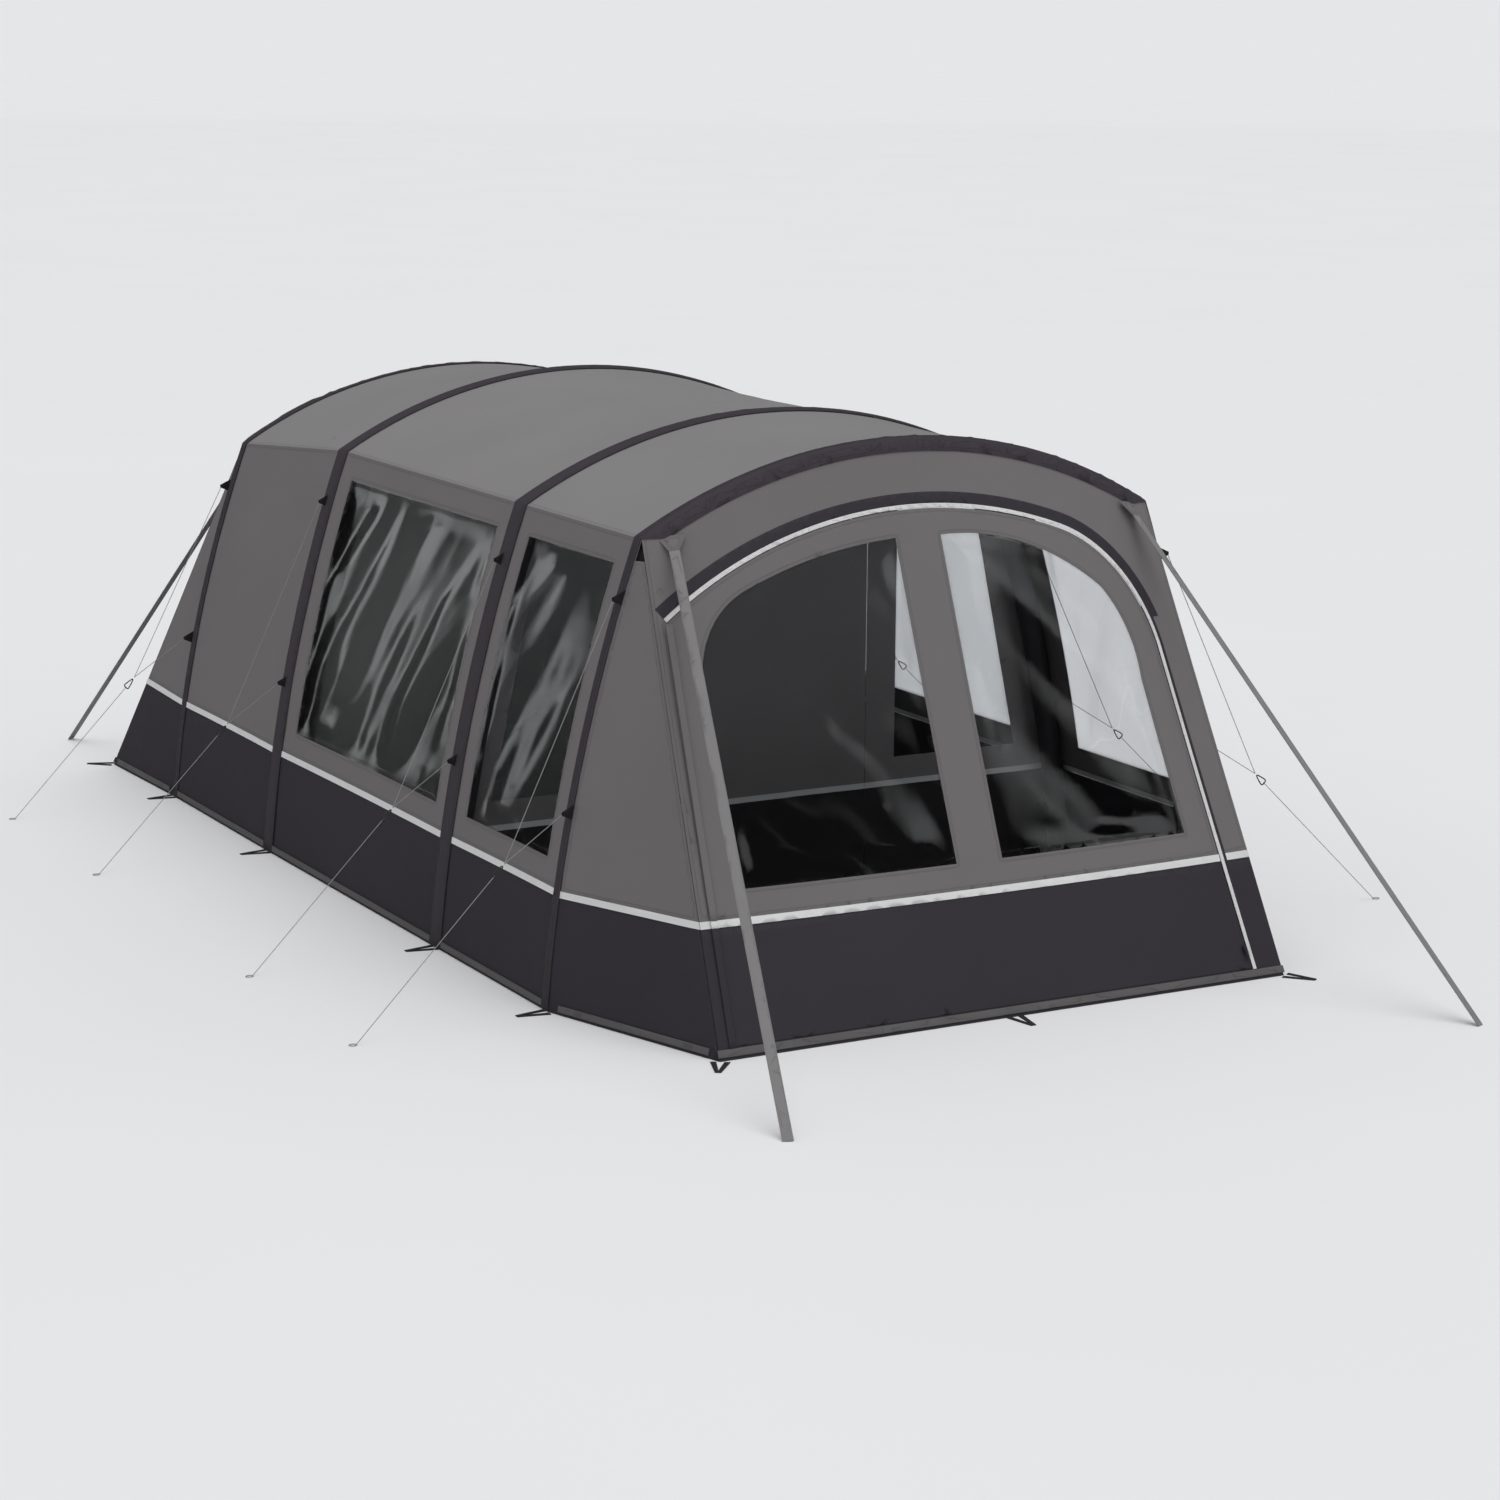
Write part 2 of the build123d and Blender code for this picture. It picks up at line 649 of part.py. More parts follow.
with BuildPart() as groundsheet:
    extrude(footprint(GROUNDSHEET_INSET), amount=GROUNDSHEET_WALL)
    basin = Pos(0, 0, FABRIC) * footprint(GROUNDSHEET_INSET + FABRIC)
    extrude(basin, amount=GROUNDSHEET_WALL, mode=Mode.SUBTRACT)
finish(groundsheet.part, "groundsheet")

# ---------------------------------------------------------------- divider behind the porch
DIVIDER_Y = LIVING_BEAM_Y + SLEEVE_RADIUS + DIVIDER_CLEARANCE
DIVIDER_PLANE = across(DIVIDER_Y + FABRIC)
INNER_GAP = 3.0
DIVIDER_WINDOW_TOP = 1640.0
TUB_X = MAIN.ground - GROUNDSHEET_INSET - FABRIC / 2    # slit for the groundsheet's wall


def divider_door_outline(grow):
    with BuildSketch(DIVIDER_PLANE) as outline:
        with BuildLine():
            half = DIVIDER_DOOR_HALF
            shoulder = DIVIDER_DOOR_TOP - 260
            Line((-half, INNER_SILL), (-half, shoulder))
            ThreePointArc((-half, shoulder), (0, DIVIDER_DOOR_TOP), (half, shoulder))
            Line((half, shoulder), (half, INNER_SILL))
            Line((half, INNER_SILL), (-half, INNER_SILL))
        make_face()
        offset(amount=grow, kind=Kind.INTERSECTION, mode=Mode.REPLACE)
    return outline.sketch


def divider_window_outline(side):
    """Window beside the divider's door, its outer edge parallel to the tent wall."""
    lean = 0.216
    rise = DIVIDER_WINDOW_TOP - WINDOW_LOW
    with BuildSketch(DIVIDER_PLANE) as outline:
        with BuildLine():
            Polyline(
                (side * 645, WINDOW_LOW),
                (side * 1260, WINDOW_LOW),
                (side * (1260 - lean * rise), DIVIDER_WINDOW_TOP),
                (side * 645, DIVIDER_WINDOW_TOP),
                close=True,
            )
        make_face()
    return outline.sketch


DIVIDER_HOLES = [divider_window_outline(side) for side in SIDES]
with BuildPart() as divider_wall:
    inside = grown(MAIN, -PANEL_CLEARANCE - FABRIC)
    with BuildSketch(DIVIDER_PLANE):
        add(arch_face(DIVIDER_Y + FABRIC, inside, INNER_SILL - 15))
        add(divider_door_outline(INNER_GAP / 2), mode=Mode.SUBTRACT)
        for hole in DIVIDER_HOLES:
            add(hole, mode=Mode.SUBTRACT)
        with Locations((-TUB_X, GROUNDSHEET_WALL / 2), (TUB_X, GROUNDSHEET_WALL / 2)):
            Rectangle(FABRIC + 4, GROUNDSHEET_WALL + 4, mode=Mode.SUBTRACT)
    extrude(amount=FABRIC)
finish(divider_wall.part, "divider_wall")

with BuildPart() as divider_windows:
    with BuildSketch(DIVIDER_PLANE):
        for hole in DIVIDER_HOLES:
            add(hole)
    extrude(amount=FABRIC)
finish(divider_windows.part, "divider_windows")

with BuildPart() as divider_door:
    with BuildSketch(DIVIDER_PLANE):
        add(divider_door_outline(-INNER_GAP / 2))
    extrude(amount=FABRIC)
finish(divider_door.part, "divider_door")

# ---------------------------------------------------------------- bedroom inner tent
BEDROOM_Y = BEDROOM_BEAM_Y + BEDROOM_GAP
BEDROOM_FLOOR = 8.0


def bedroom_blank(inset):
    """The bedroom's outside, drawn in from the flysheet by an inset."""
    front = grown(MAIN, -inset)
    back = grown(REAR, -inset)
    tail_y = REAR_EDGE_Y - inset - 60
    tail_half = REAR_EDGE_HALF - inset - GROUNDSHEET_TAPER
    shrink = inset - BEDROOM_INSET
    with BuildSketch(across(tail_y)) as tail:
        with BuildLine():
            Polyline(
                (-tail_half, BEDROOM_FLOOR + shrink),
                (tail_half, BEDROOM_FLOOR + shrink),
                (tail_half - 40, 150 - shrink),
                (-tail_half + 40, 150 - shrink),
                close=True,
            )
        make_face()
    with BuildPart() as blank:
        start = arch_face(BEDROOM_Y + shrink, front, BEDROOM_FLOOR + shrink)
        middle = arch_face(REAR_BEAM_Y - 20, back, BEDROOM_FLOOR + shrink)
        loft([start, middle], ruled=True)
        loft([middle, tail.sketch], ruled=True)
    return blank.part


def bedroom_door_outline(grow):
    with BuildSketch(across(BEDROOM_Y - 50)) as outline:
        with BuildLine():
            half = BEDROOM_DOOR_HALF
            shoulder = BEDROOM_DOOR_TOP - 200
            Line((-half, 60), (-half, shoulder))
            ThreePointArc((-half, shoulder), (0, BEDROOM_DOOR_TOP), (half, shoulder))
            Line((half, shoulder), (half, 60))
            Line((half, 60), (-half, 60))
        make_face()
        offset(amount=grow, kind=Kind.INTERSECTION, mode=Mode.REPLACE)
    return outline.sketch


with BuildPart() as bedroom_inner:
    add(bedroom_blank(BEDROOM_INSET))
    add(bedroom_blank(BEDROOM_INSET + FABRIC), mode=Mode.SUBTRACT)
    extrude(bedroom_door_outline(INNER_GAP / 2), amount=100, dir=(0, 1, 0), mode=Mode.SUBTRACT)
finish(bedroom_inner.part, "bedroom_inner")

with BuildPart() as bedroom_door:
    with BuildSketch(across(BEDROOM_Y + FABRIC)):
        add(bedroom_door_outline(-INNER_GAP / 2))
    extrude(amount=FABRIC)
finish(bedroom_door.part, "bedroom_door")


# ---------------------------------------------------------------- rear vent
VENT_OUTLINE = rectangle(REAR_PLANE, -VENT_HALF, VENT_HALF, VENT_LOW, VENT_HIGH)
ABOVE_REAR_PIPING = strip(PIPING_TOP, 2 * MAIN.ridge, REAR_PLANE)
finish(cut_from(REAR_SLAB, [ABOVE_REAR_PIPING], [VENT_OUTLINE]), "rear_panel")
finish(cut_from(REAR_SLAB, [VENT_OUTLINE]), "rear_vent_mesh")
HOOD_MARGIN = 40.0
HOOD_LIFT = FABRIC + 3.0
hood_blank = end_slab(REAR, REAR_BEAM_Y, REAR_EDGE_Y, REAR_EDGE_HALF, HOOD_LIFT)
hood_outline = rectangle(REAR_PLANE, -VENT_HALF - HOOD_MARGIN, VENT_HALF + HOOD_MARGIN,
                         VENT_LOW - HOOD_MARGIN, VENT_HIGH + HOOD_MARGIN)
finish(cut_from(hood_blank, [hood_outline]), "rear_vent_hood")


# ---------------------------------------------------------------- guy tabs, bridles and lines
def on_stripe(section, side, z, out=0.0):
    """Point on the outside of a stripe at a height."""
    return side * (wall_x(grown(section, LIFT), z) + out)


def rod(start, end, radius):
    """Straight length of cord."""
    way = Vector(*end) - Vector(*start)
    with BuildPart() as solid:
        with BuildSketch(Plane(origin=start, z_dir=way)):
            Circle(radius)
        extrude(amount=way.length)
    return solid.part


TAB_THICK = 4.0
TAB_BITE = 1.0             # a tab is sewn this far into its stripe
RING_WIRE = 2.2
GUYS = {}
for name, (y, section, _) in BEAMS.items():
    high = REAR_GUY_HIGH if name == "rear" else GUY_HIGH
    lean = REAR_GUY_LEAN if name == "rear" else GUY_LEAN
    for side, hand in zip(SIDES, ("left", "right")):
        tips = [(on_stripe(section, side, z, GUY_TAB), y, z) for z in (high, GUY_LOW)]
        ring = (side * RING_X, y - lean * 0.36, RING_Z)
        foot = (side * GUY_FOOT_X, y - lean, CORD_RADIUS + 1.4)
        GUYS[f"{name}_{hand}"] = (side, section, tips, ring, foot)

with BuildPart() as guy_tabs:
    for side, section, tips, ring, foot in GUYS.values():
        for x, y, z in tips:
            root = on_stripe(section, side, z + 30, -TAB_BITE)
            low_root = on_stripe(section, side, z - 26, -TAB_BITE)
            with BuildSketch(across(y + TAB_THICK / 2)):
                Polygon((root, z + 30), (x, z + 4), (x, z - 8), (low_root, z - 26), align=None)
            extrude(amount=TAB_THICK)
finish(guy_tabs.part, "guy_tabs")

for side, hand in zip(SIDES, ("left", "right")):
    with BuildPart() as bridles:
        for key, (guy_side, section, tips, ring, foot) in GUYS.items():
            if guy_side == side:
                for x, y, z in tips:
                    add(rod((x - side * 6, y, z - 2), ring, CORD_RADIUS))
    finish(bridles.part, f"guy_bridles_{hand}")

RING_LENGTH = 62.0
RING_HALF = 15.0
with BuildPart() as guy_rings:
    for side, section, tips, ring, foot in GUYS.values():
        down = (Vector(*foot) - Vector(*ring)).normalized()
        normal = down.cross(Vector(0, 0, 1)).normalized()
        with BuildSketch(Plane(origin=ring, x_dir=down, z_dir=normal)):
            with BuildLine():
                FilletPolyline((-2, 0), (RING_LENGTH, RING_HALF), (RING_LENGTH, -RING_HALF),
                               close=True, radius=4)
            make_face()
            with BuildLine():
                FilletPolyline((7, 0), (RING_LENGTH - 5, RING_HALF - 5),
                               (RING_LENGTH - 5, 5 - RING_HALF), close=True, radius=2)
            make_face(mode=Mode.SUBTRACT)
        extrude(amount=RING_WIRE, both=True)
finish(guy_rings.part, "guy_rings")

for key, (side, section, tips, ring, foot) in GUYS.items():
    down = (Vector(*foot) - Vector(*ring)).normalized()
    start = Vector(*ring) + down * (RING_LENGTH - 3)
    finish(rod((start.X, start.Y, start.Z), foot, CORD_RADIUS), f"guy_line_{key}")

with BuildPart() as peg_end_loops:
    for side, section, tips, ring, foot in GUYS.values():
        center = (foot[0] + side * LOOP_RADIUS, foot[1], CORD_RADIUS + 0.3)
        with BuildSketch(Plane(origin=(center[0] + LOOP_RADIUS, center[1], center[2]),
                               z_dir=(0, 1, 0))):
            Circle(CORD_RADIUS)
        revolve(axis=Axis(center, (0, 0, 1)), revolution_arc=360)
finish(peg_end_loops.part, "peg_end_loops")

# ---------------------------------------------------------------- storm straps
ANCHOR_LENGTH = 130.0
ANCHOR_WIDTH = 112.0
STRAP_START = 58.0


def strap_frame(end, side, foot_x, foot_y):
    """Plane of a storm strap: x across the strap, y down it, origin at the tent's shoulder."""
    toward = -1 if foot_y < 0 else 1
    section = end.section
    top = Vector(side * (section.eaves_half - 121), end.beam_y - toward * 10, section.eaves + 51)
    foot = Vector(side * foot_x, foot_y, 3.0)
    down = (foot - top).normalized()
    level = Vector(side, 0, -0.52)
    normal = down.cross(level).normalized()
    return Plane(origin=top, x_dir=down.cross(normal), z_dir=normal), (foot - top).length


for name, end in ENDS.items():
    toward = -1 if name == "front" else 1
    foot_x = FRONT_STRAP_X if name == "front" else REAR_STRAP_X
    with BuildPart() as straps:
        for side in SIDES:
            plane, length = strap_frame(end, side, foot_x, toward * STRAP_FOOT_Y)
            with BuildSketch(plane):
                with Locations((0, (ANCHOR_LENGTH + length + STRAP_THICK) / 2)):
                    Rectangle(STRAP_WIDTH, length - ANCHOR_LENGTH + STRAP_THICK)
            extrude(amount=STRAP_THICK / 2, both=True)
        split(bisect_by=Plane.XY, keep=Keep.TOP)
    finish(straps.part, f"storm_straps_{name}")

with BuildPart() as strap_anchors:
    for name, end in ENDS.items():
        toward = -1 if name == "front" else 1
        foot_x = FRONT_STRAP_X if name == "front" else REAR_STRAP_X
        for side in SIDES:
            plane, length = strap_frame(end, side, foot_x, toward * STRAP_FOOT_Y)
            half = ANCHOR_WIDTH / 2
            with BuildSketch(plane):
                Polygon((-half, STRAP_START), (half, STRAP_START),
                        (STRAP_WIDTH / 2, ANCHOR_LENGTH), (-STRAP_WIDTH / 2, ANCHOR_LENGTH),
                        align=None)
            extrude(amount=STRAP_THICK / 2, both=True)
finish(strap_anchors.part, "strap_anchors")

# ---------------------------------------------------------------- webbing peg loops
PEG_LOOP = 128.0
PEG_LOOP_BASE = 74.0
WEBBING = 22.0


def loop_places():
    """Foot of each loop on the tent's edge and the direction that it points."""
    places = []
    for side in SIDES:
        for y, section, _ in BEAMS.values():
            places.append(((side * (section.ground + 5), y), (side, 0.0)))
        places.append(((side * (FRONT_EDGE_HALF + 2), FRONT_EDGE_Y - 5), (side * 0.53, -0.85)))
        places.append(((side * (REAR_EDGE_HALF + 5), REAR_EDGE_Y + 2), (side * 0.85, 0.53)))
    places.append(((0.0, FRONT_EDGE_Y - 5), (0.0, -1.0)))
    places.append(((0.0, REAR_EDGE_Y + 5), (0.0, 1.0)))
    return places


with BuildPart() as peg_loops:
    for (x, y), (dx, dy) in loop_places():
        plane = Plane(origin=(x, y, 0), x_dir=(dx, dy, 0), z_dir=(0, 0, 1))
        half = PEG_LOOP_BASE / 2
        with BuildSketch(plane):
            Polygon((0, half), (0, -half), (PEG_LOOP, -WEBBING / 2), (PEG_LOOP, WEBBING / 2),
                    align=None)
            Polygon((-1, half - WEBBING), (-1, WEBBING - half), (PEG_LOOP - WEBBING, 0),
                    align=None, mode=Mode.SUBTRACT)
        extrude(amount=STRAP_THICK)
finish(peg_loops.part, "peg_loops")

# ---------------------------------------------------------------- inflation valves
VALVE_BODY = 22.0
VALVE_BITE = 9.0           # valve's seat into the beam
CAP_GAP = 0.6
CAP_HINGE = CAP_RADIUS + 5.0    # hinge above the valve's centre
HINGE_WIDTH = 16.0
HINGE_PLATE = 3.0


def valve_plane(name, out=0.0, up=0.0):
    """Plane square to a valve, facing the room, a distance out from the beam's sleeve."""
    section, y = BEAMS[name][1:]
    inner_x = wall_x(grown(section, -SLEEVE_DEPTH), VALVE_HEIGHT) - SLEEVE_RADIUS
    origin = (inner_x + VALVE_BITE - out, y, VALVE_HEIGHT + up)
    return Plane(origin=origin, x_dir=(0, 1, 0), z_dir=(-1, 0, 0))


with BuildPart() as valve_bodies:
    for name in BEAMS:
        with BuildSketch(valve_plane(name)):
            Circle(VALVE_RADIUS)
        extrude(amount=VALVE_BODY)
        with BuildSketch(valve_plane(name, VALVE_BODY - HINGE_PLATE, (CAP_HINGE + VALVE_RADIUS) / 2)):
            Rectangle(HINGE_WIDTH, CAP_HINGE - VALVE_RADIUS + 6)
        extrude(amount=HINGE_PLATE)
finish(valve_bodies.part, "valve_bodies")

for name in BEAMS:
    back = VALVE_BODY + CAP_GAP
    with BuildPart() as cap:
        with BuildSketch(valve_plane(name, back)):
            Circle(CAP_RADIUS)
        extrude(amount=CAP_THICK)
        fillet(cap.faces().sort_by(Axis.X)[0].edges(), 3)
        with BuildSketch(valve_plane(name, back, (CAP_HINGE + CAP_RADIUS) / 2 - 1)):
            Rectangle(HINGE_WIDTH, CAP_HINGE - CAP_RADIUS + 2)
        extrude(amount=HINGE_PLATE)
    finish(cap.part, f"valve_cap_{name}")
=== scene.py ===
"""Tunnel tent on four air beams: fly, clear windows, zipped porch door, inner rooms and guys."""

import math

import bmesh
import bpy
from mathutils import Matrix, Vector, kdtree, noise


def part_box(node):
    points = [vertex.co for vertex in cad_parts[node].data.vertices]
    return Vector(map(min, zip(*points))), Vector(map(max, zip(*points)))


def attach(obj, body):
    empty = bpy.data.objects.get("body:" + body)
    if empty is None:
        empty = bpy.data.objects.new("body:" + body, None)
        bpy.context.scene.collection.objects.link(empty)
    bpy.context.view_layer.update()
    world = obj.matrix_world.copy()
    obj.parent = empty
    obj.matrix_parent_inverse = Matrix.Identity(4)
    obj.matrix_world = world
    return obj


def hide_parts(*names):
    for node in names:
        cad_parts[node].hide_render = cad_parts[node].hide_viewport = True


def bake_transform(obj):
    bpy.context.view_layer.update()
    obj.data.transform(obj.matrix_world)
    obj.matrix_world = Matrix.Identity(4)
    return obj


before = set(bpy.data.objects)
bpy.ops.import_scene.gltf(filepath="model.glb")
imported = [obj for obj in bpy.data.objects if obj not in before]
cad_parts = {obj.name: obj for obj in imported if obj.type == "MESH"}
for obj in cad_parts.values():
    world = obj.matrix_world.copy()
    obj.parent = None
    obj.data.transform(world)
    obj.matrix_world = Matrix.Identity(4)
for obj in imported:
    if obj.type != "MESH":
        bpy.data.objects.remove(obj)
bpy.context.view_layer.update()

# ---------------------------------------------------------------- camera
# A long lens some seven metres off to the left of the porch door and nearly four metres up,
# looking down along the tent.
CAMERA_PLACE = Vector((-7.163, -13.727, 3.797))
CAMERA_AZIMUTH = -0.50337
CAMERA_ELEVATION = 0.20978
CAMERA_ROLL = 0.00694
SENSOR = 36.0
LENS = 85.77
back = Vector((
    math.sin(CAMERA_AZIMUTH) * math.cos(CAMERA_ELEVATION),
    -math.cos(CAMERA_AZIMUTH) * math.cos(CAMERA_ELEVATION),
    math.sin(CAMERA_ELEVATION),
))
level = Vector((math.cos(CAMERA_AZIMUTH), math.sin(CAMERA_AZIMUTH), 0.0))
upright = back.cross(level)
right = level * math.cos(CAMERA_ROLL) + upright * math.sin(CAMERA_ROLL)
up = upright * math.cos(CAMERA_ROLL) - level * math.sin(CAMERA_ROLL)
camera_data = bpy.data.cameras.new("camera")
camera_data.lens = LENS
camera_data.sensor_width = SENSOR
camera_data.clip_end = 5000.0
camera = bpy.data.objects.new("camera", camera_data)
camera.matrix_world = Matrix.Translation(CAMERA_PLACE) @ Matrix((right, up, back)).transposed().to_4x4()
bpy.context.collection.objects.link(camera)
bpy.context.scene.camera = camera

# ---------------------------------------------------------------- guy lines
# Braided polyester cord, 3 mm thick. On each side of each beam two short legs run from sewn
# tabs to a plastic ring, and one taut line runs from the ring to a loop at the ground.
SIDES = (-1, 1)
HANDS = {-1: "left", 1: "right"}
roof_boxes = [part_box("roof_" + bay) for bay in ("porch", "living", "bedroom")]
beam_y = [roof_boxes[0][0][1], roof_boxes[1][0][1], roof_boxes[2][0][1], roof_boxes[2][1][1]]
BEAM_NAMES = ("porch", "living", "bedroom", "rear")
CORD_DIAMETER = 0.003
RING_X = 1.726
RING_Z = 0.604
RING_REACH = 0.059         # knot on the ring's far side
FOOT_X = 2.347
FOOT_Z = 0.0029
LEANS = (0.066, 0.066, 0.066, 0.116)
TAB_HEIGHTS = ((1.566, 0.765), (1.566, 0.765), (1.566, 0.765), (1.480, 0.765))
MAIN_WALL = (1.537, 1.141, 1.783)
REAR_WALL = (1.530, 1.139, 1.676)
WALL_BOW = 0.062
TAB_TIP = 0.0435           # cord's eye outside the wall, stripe included


def wall_x(wall, z):
    """Half width of the tent's bowed wall at a height."""
    ground, eaves_half, eaves = wall
    t = z / eaves
    return ground + (eaves_half - ground) * t + 4 * WALL_BOW * t * (1 - t)


class Signal:
    """A value in a material's nodes; arithmetic on it adds Math nodes."""

    def __init__(self, tree, socket):
        self.tree = tree
        self.socket = socket

    def node(self, kind, settings, sockets, output=0):
        made = self.tree.nodes.new("ShaderNode" + kind)
        for name, value in settings.items():
            if name == "stops":
                for element, (place, shade) in zip(made.color_ramp.elements, value):
                    element.position = place
                    element.color = (shade, shade, shade, 1.0)
            else:
                setattr(made, name, value)
        for name, value in sockets.items():
            if isinstance(value, Signal):
                self.tree.links.new(value.socket, made.inputs[name])
            else:
                made.inputs[name].default_value = value
        return Signal(self.tree, made.outputs[output])

    def math(self, operation, other=0.0):
        return self.node("Math", {"operation": operation}, {0: self, 1: other})

    def __add__(self, other):
        return self.math("ADD", other)

    def __sub__(self, other):
        return self.math("SUBTRACT", other)

    def __rsub__(self, other):
        return self.node("Math", {"operation": "SUBTRACT"}, {0: other, 1: self})

    def __mul__(self, other):
        return self.math("MULTIPLY", other)

    def __abs__(self):
        return self.math("ABSOLUTE")

    def __lt__(self, other):
        return self.math("LESS_THAN", other)

    def __gt__(self, other):
        return self.math("GREATER_THAN", other)

    __radd__ = __add__
    __rmul__ = __mul__


def linear(*tone):
    """Colour of a paint chip given from 0 to 255, as the shaders want it."""
    return tuple((c / 255) ** 2.2 for c in tone) + (1.0,)


def shaded(colour, by):
    return tuple(min(1.0, c * by) for c in colour[:3]) + (1.0,)


class Finish:
    """A material with its main shader, whose plain values are set on the shader's own sockets."""

    def __init__(self, name, **values):
        self.material = bpy.data.materials.new(name)
        self.material.use_nodes = True
        self.tree = self.material.node_tree
        self.shader = self.tree.nodes["Principled BSDF"]
        for socket, value in values.items():
            self.shader.inputs[socket.replace("_", " ")].default_value = value
        coordinates = self.tree.nodes.new("ShaderNodeTexCoord")
        self.place = Signal(self.tree, coordinates.outputs["Object"])

    def axes(self):
        return [self.place.node("SeparateXYZ", {}, {"Vector": self.place}, i) for i in range(3)]

    def noise(self, scale, detail=3.0, stretch=None):
        vector = self.place
        if stretch:
            vector = vector.node("Mapping", {}, {"Vector": vector, "Scale": stretch})
        return vector.node("TexNoise", {}, {"Vector": vector, "Scale": scale, "Detail": detail})

    def mix(self, factor, first, second):
        return self.place.node(
            "Mix", {"data_type": "RGBA"}, {0: factor, 6: first, 7: second}, output=2
        )

    def feed(self, socket, signal):
        self.tree.links.new(signal.socket, self.shader.inputs[socket])

    def relief(self, height):
        """Bump from a height in metres."""
        self.feed("Normal", self.place.node("Bump", {}, {"Height": height, "Distance": 1.0}))


def braided(name, tone, twist):
    """Round braid: a slanting rib every few millimetres, its colour darker in each groove and lighter on
    each crest: painted shade and highlight.
    """
    finish = Finish(name, Roughness=0.8, Sheen_Weight=0.2)
    x, y, z = finish.axes()
    rib = ((x + y * 0.7 + z * 0.5) * twist).math("SINE")
    colour = linear(*tone)
    # Painted shade and highlight: the colour follows the rib's height, as the bump does.
    shade = rib * 0.5 + 0.5
    finish.feed("Base Color", finish.mix(shade, shaded(colour, 0.72), shaded(colour, 1.2)))
    finish.relief(rib * 0.0003)
    return finish.material


def tube_curve(name, points, radius, material, closed=False):
    """Cord through its control points, as one smooth spline."""
    curve = bpy.data.curves.new(name, "CURVE")
    curve.dimensions = "3D"
    curve.bevel_depth = radius
    curve.bevel_resolution = 3
    spline = curve.splines.new("NURBS")
    spline.points.add(len(points) - 1)
    for target, point in zip(spline.points, points):
        target.co = (*point, 1.0)
    spline.order_u = 3
    spline.use_endpoint_u = not closed
    spline.use_cyclic_u = closed
    curve.materials.append(material)
    cord = bpy.data.objects.new(name, curve)
    bpy.context.collection.objects.link(cord)
    return cord


cord_finish = braided("guy_cord", (150, 150, 150), 2100.0)
ring_finish = Finish("ring_plastic", Roughness=0.42)
mottle = ring_finish.noise(180.0)
ring_finish.feed("Base Color", ring_finish.mix(mottle, linear(46, 46, 48), linear(66, 66, 68)))
ring_finish.relief(mottle * 0.00006)
RING_WIRE = 0.0026
RING_LENGTH = 0.062
RING_HALF = 0.015
LOOP_RADIUS = 0.014
for index, name in enumerate(BEAM_NAMES):
    wall = REAR_WALL if name == "rear" else MAIN_WALL
    for side in SIDES:
        tag = f"{name}_{HANDS[side]}"
        ring_top = Vector((side * RING_X, beam_y[index] - LEANS[index] * 0.36, RING_Z))
        foot = Vector((side * FOOT_X, beam_y[index] - LEANS[index], FOOT_Z))
        down = (foot - ring_top).normalized()
        start = ring_top + down * RING_REACH

        flat_side = down.cross(Vector((0, 0, 1))).normalized()
        across_ring = flat_side.cross(down).normalized()
        corners = [ring_top + down * along + across_ring * out for along, out in (
            (0.004, 0.0), (RING_LENGTH * 0.55, RING_HALF * 0.62), (RING_LENGTH, RING_HALF),
            (RING_LENGTH + 0.002, 0.0), (RING_LENGTH, -RING_HALF), (RING_LENGTH * 0.55, -RING_HALF * 0.62),
        )]
        ring = tube_curve("guy_ring_" + tag, corners, RING_WIRE, ring_finish.material, closed=True)
        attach(ring, "tent")
        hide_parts("guy_rings")

        loop_centre = Vector((foot.x + side * LOOP_RADIUS, foot.y, 0.0022))
        around = [loop_centre + Vector((math.cos(a), 0.8 * math.sin(a), 0)) * (LOOP_RADIUS * 1.15)
                  for a in (k * math.tau / 8 for k in range(8))]
        loop = tube_curve("guy_loop_" + tag, around, CORD_DIAMETER / 2, cord_finish, closed=True)
        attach(loop, "tent")
        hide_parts("peg_end_loops")

        line = tube_curve("guy_line_cord_" + tag, (start, foot), CORD_DIAMETER / 2, cord_finish)
        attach(line, "tent")
        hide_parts("guy_line_" + tag)
        for number, height in enumerate(TAB_HEIGHTS[index]):
            tip = Vector((side * (wall_x(wall, height) + TAB_TIP), beam_y[index], height - 0.002))
            leg = tube_curve(f"guy_leg_{tag}_{number}", (tip, ring_top), CORD_DIAMETER / 2, cord_finish)
            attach(leg, "tent")
            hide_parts("guy_bridles_" + HANDS[side])

# ---------------------------------------------------------------- roof
# Coated polyester stretched between the beams. It hangs a little lower in the middle of each
# bay, and is sewn to the walls along the eaves.
EAVES = roof_boxes[1][0][2]
RIDGE = roof_boxes[1][1][2]
FRONT_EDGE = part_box("skirt_front")[0][1]
REAR_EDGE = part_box("skirt_rear")[1][1]
BAY_SAG = (0.012, 0.020, 0.014)
WALL_DRAW = (0.006, 0.010, 0.008)
FRONT_SAG = 0.012
FRONT_INWARD = Vector((0.0, 0.905, -0.425))
REAR_INWARD = Vector((0.0, -0.905, -0.425))
END_HALF = 1.25


